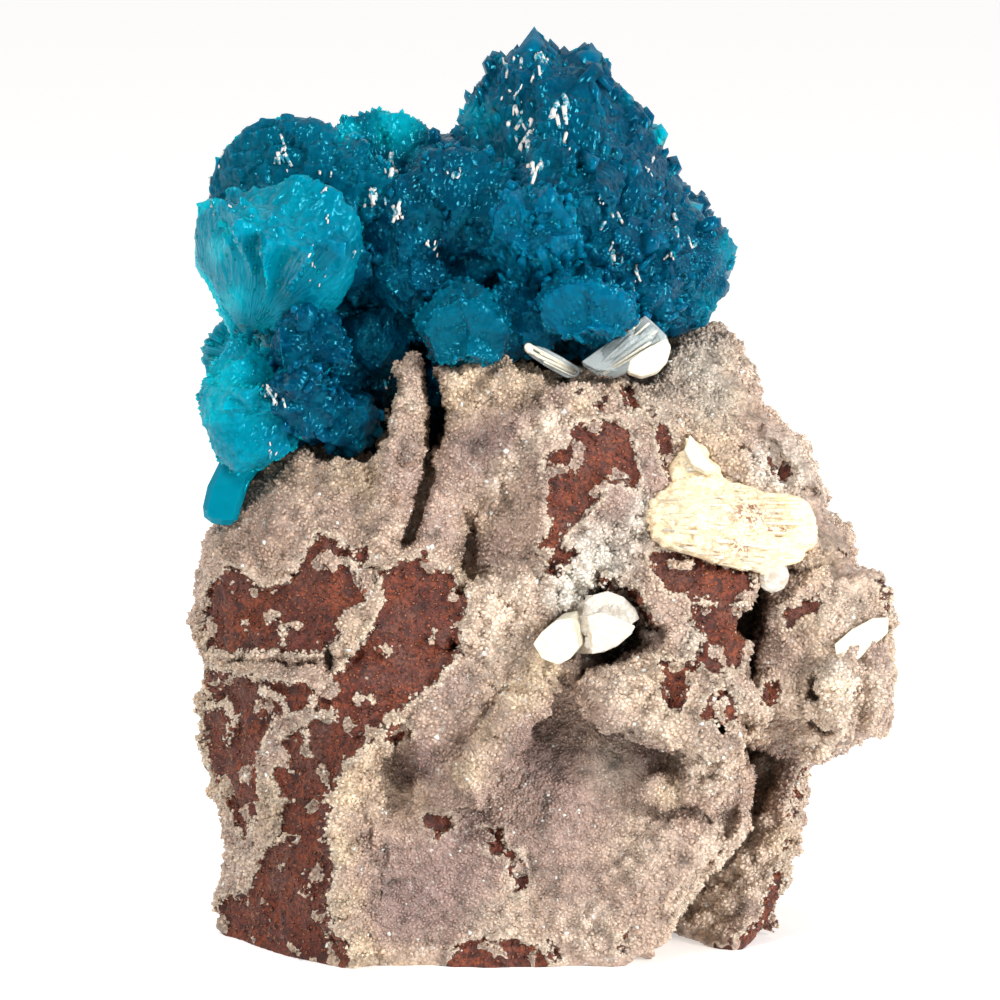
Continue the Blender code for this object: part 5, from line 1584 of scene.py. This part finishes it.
def make_sheaf(finishes, dice):
    """The cream sheaf: a ribbed body with fibres lying on it."""
    sheaf = copy_of_node("stilbite_sheaf_right", "stilbite_sheaf")
    apply_modifier(sheaf, "REMESH", voxel_size=0.2 * MM)
    apply_modifier(sheaf, "SMOOTH", factor=0.5, iterations=8)
    places = vertices_of(sheaf)
    _, root, reach = STILBITE_GROUPS["sheaf"]
    place = place_in(places, frame_of((root, reach, *STILBITE_SPREAD)))
    near, level = bundles_at(place / MM, 1.3, 12)
    relief = 0.30 * (level - 0.5) + 0.25 * (0.45 - near)
    relief = relief + 0.30 * noise_at(places, 3 * MM, 1.2) + 0.25
    near, level = bundles_at(place / MM, 0.55, 16)
    relief += 0.16 * (level - 0.5)
    move_vertices(sheaf, places + normals_of(sheaf) * relief[:, None] * MM)
    select_only(sheaf)
    bpy.ops.object.shade_smooth_by_angle(angle=math.radians(35))
    finish_stilbite(sheaf, "sheaf", finishes["cream"], SHEAF_SPECKS)
    tree = tree_of(sheaf)
    for name, (count, half, lift, finish) in SHEAF_LATHS.items():
        bundle = laths_on(name, tree, count, SHEAF_FEET, SHEAF_TIPS, half, lift, dice)
        finish_stilbite(bundle, "sheaf", finishes[finish], SHEAF_SPECKS)


def make_stilbites():
    """All pale crystals: the sheaf, the fan, the lath, the blocks and the wedge."""
    dice = np.random.default_rng(3)
    finishes = {
        name: stilbite_material(f"stilbite_{name}", *values)
        for name, values in STILBITE_FINISHES.items()
    }
    make_sheaf(finishes, dice)
    for name, (group, finish, *sizes) in SMALL_STILBITES.items():
        if len(sizes) == 3:
            crystal = outlined_crystal(name, *sizes)
        else:
            crystal = laths(name, *sizes, dice)
        finish_stilbite(crystal, group, finishes[finish])

    wedge = copy_of_node("stilbite_wedge_right", "stilbite_wedge")
    apply_modifier(wedge, "BEVEL", width=0.2 * MM, segments=2, limit_method="ANGLE")
    finish_stilbite(wedge, "wedge", finishes["white"])


SENSOR_WIDTH = 36
LENS = SENSOR_WIDTH * VIEW_DISTANCE / (FRAME_PX * PIXEL)
KEY_PLACE = (-0.16, -0.30, 0.36)
KEY_SIZE = (0.10, 0.10)
KEY_WATTS = 1.35
FILL_PLACE = (0.36, -0.32, 0.14)
FILL_SIZE = (0.14, 0.18)
FILL_WATTS = 2.4
AIMED_AT = (0, 0, 0.03)
FLOOR_RADIUS = 3
FLOOR_GLOW = 0.42
WHITE_PAPER = (0.88, 0.87, 0.86, 1)
PAPER_GLOW = (1, 0.99, 0.98, 1)
ROOM_IN_FRONT = 0.36
ROOM_BEHIND = 0.85
BACKDROP = 1.05


def make_camera():
    """The camera at the photograph's angle and distance."""
    camera = bpy.data.objects.new("camera", bpy.data.cameras.new("camera"))
    bpy.context.scene.collection.objects.link(camera)
    camera.location = LENS_PLACE
    camera.rotation_euler = (math.radians(90) - VIEW_TILT, 0, 0)
    camera.data.lens = LENS
    camera.data.clip_start = 0.01
    camera.data.clip_end = 20
    bpy.context.scene.camera = camera


def add_softbox(name, place, target, size, watts):
    light = bpy.data.lights.new(name, "AREA")
    light.shape = "RECTANGLE"
    light.size, light.size_y = size
    light.energy = watts
    lamp = bpy.data.objects.new(name, light)
    bpy.context.scene.collection.objects.link(lamp)
    lamp.location = place
    lamp.rotation_euler = (Vector(place) - Vector(target)).to_track_quat("Z", "Y").to_euler()


def make_studio():
    """A white floor, white all round and two softboxes in front, one on each side."""
    bpy.ops.mesh.primitive_circle_add(vertices=96, radius=FLOOR_RADIUS, fill_type="NGON")
    floor = bpy.context.object
    floor.name = "floor"
    white, shader = new_material("white_paper", Roughness=0.9)
    shader.inputs["Base Color"].default_value = WHITE_PAPER
    shader.inputs["Emission Color"].default_value = PAPER_GLOW
    shader.inputs["Emission Strength"].default_value = FLOOR_GLOW
    floor.data.materials.append(white)

    world = bpy.data.worlds.new("white_room")
    bpy.context.scene.world = world
    world.use_nodes = True
    nodes, links = world.node_tree.nodes, world.node_tree.links
    background = nodes["Background"]
    background.inputs["Color"].default_value = (1, 1, 1, 1)
    away = nodes.new("ShaderNodeSeparateXYZ")
    links.new(nodes.new("ShaderNodeTexCoord").outputs["Generated"], away.inputs[0])
    room = nodes.new("ShaderNodeMapRange")
    links.new(away.outputs["Y"], room.inputs["Value"])
    limits = (-0.5, 0.6, ROOM_IN_FRONT, ROOM_BEHIND)
    for name, number in zip(("From Min", "From Max", "To Min", "To Max"), limits):
        room.inputs[name].default_value = number
    level = nodes.new("ShaderNodeMix")
    links.new(nodes.new("ShaderNodeLightPath").outputs["Is Camera Ray"], level.inputs["Factor"])
    links.new(room.outputs[0], level.inputs["A"])
    level.inputs["B"].default_value = BACKDROP
    links.new(level.outputs["Result"], background.inputs["Strength"])
    add_softbox("key", KEY_PLACE, AIMED_AT, KEY_SIZE, KEY_WATTS)
    add_softbox("fill", FILL_PLACE, AIMED_AT, FILL_SIZE, FILL_WATTS)
    view = bpy.context.scene.view_settings
    view.view_transform = "Standard"
    view.look = "None"


make_camera()
make_studio()
make_druse(make_rock())
make_cavansite()
make_stilbites()
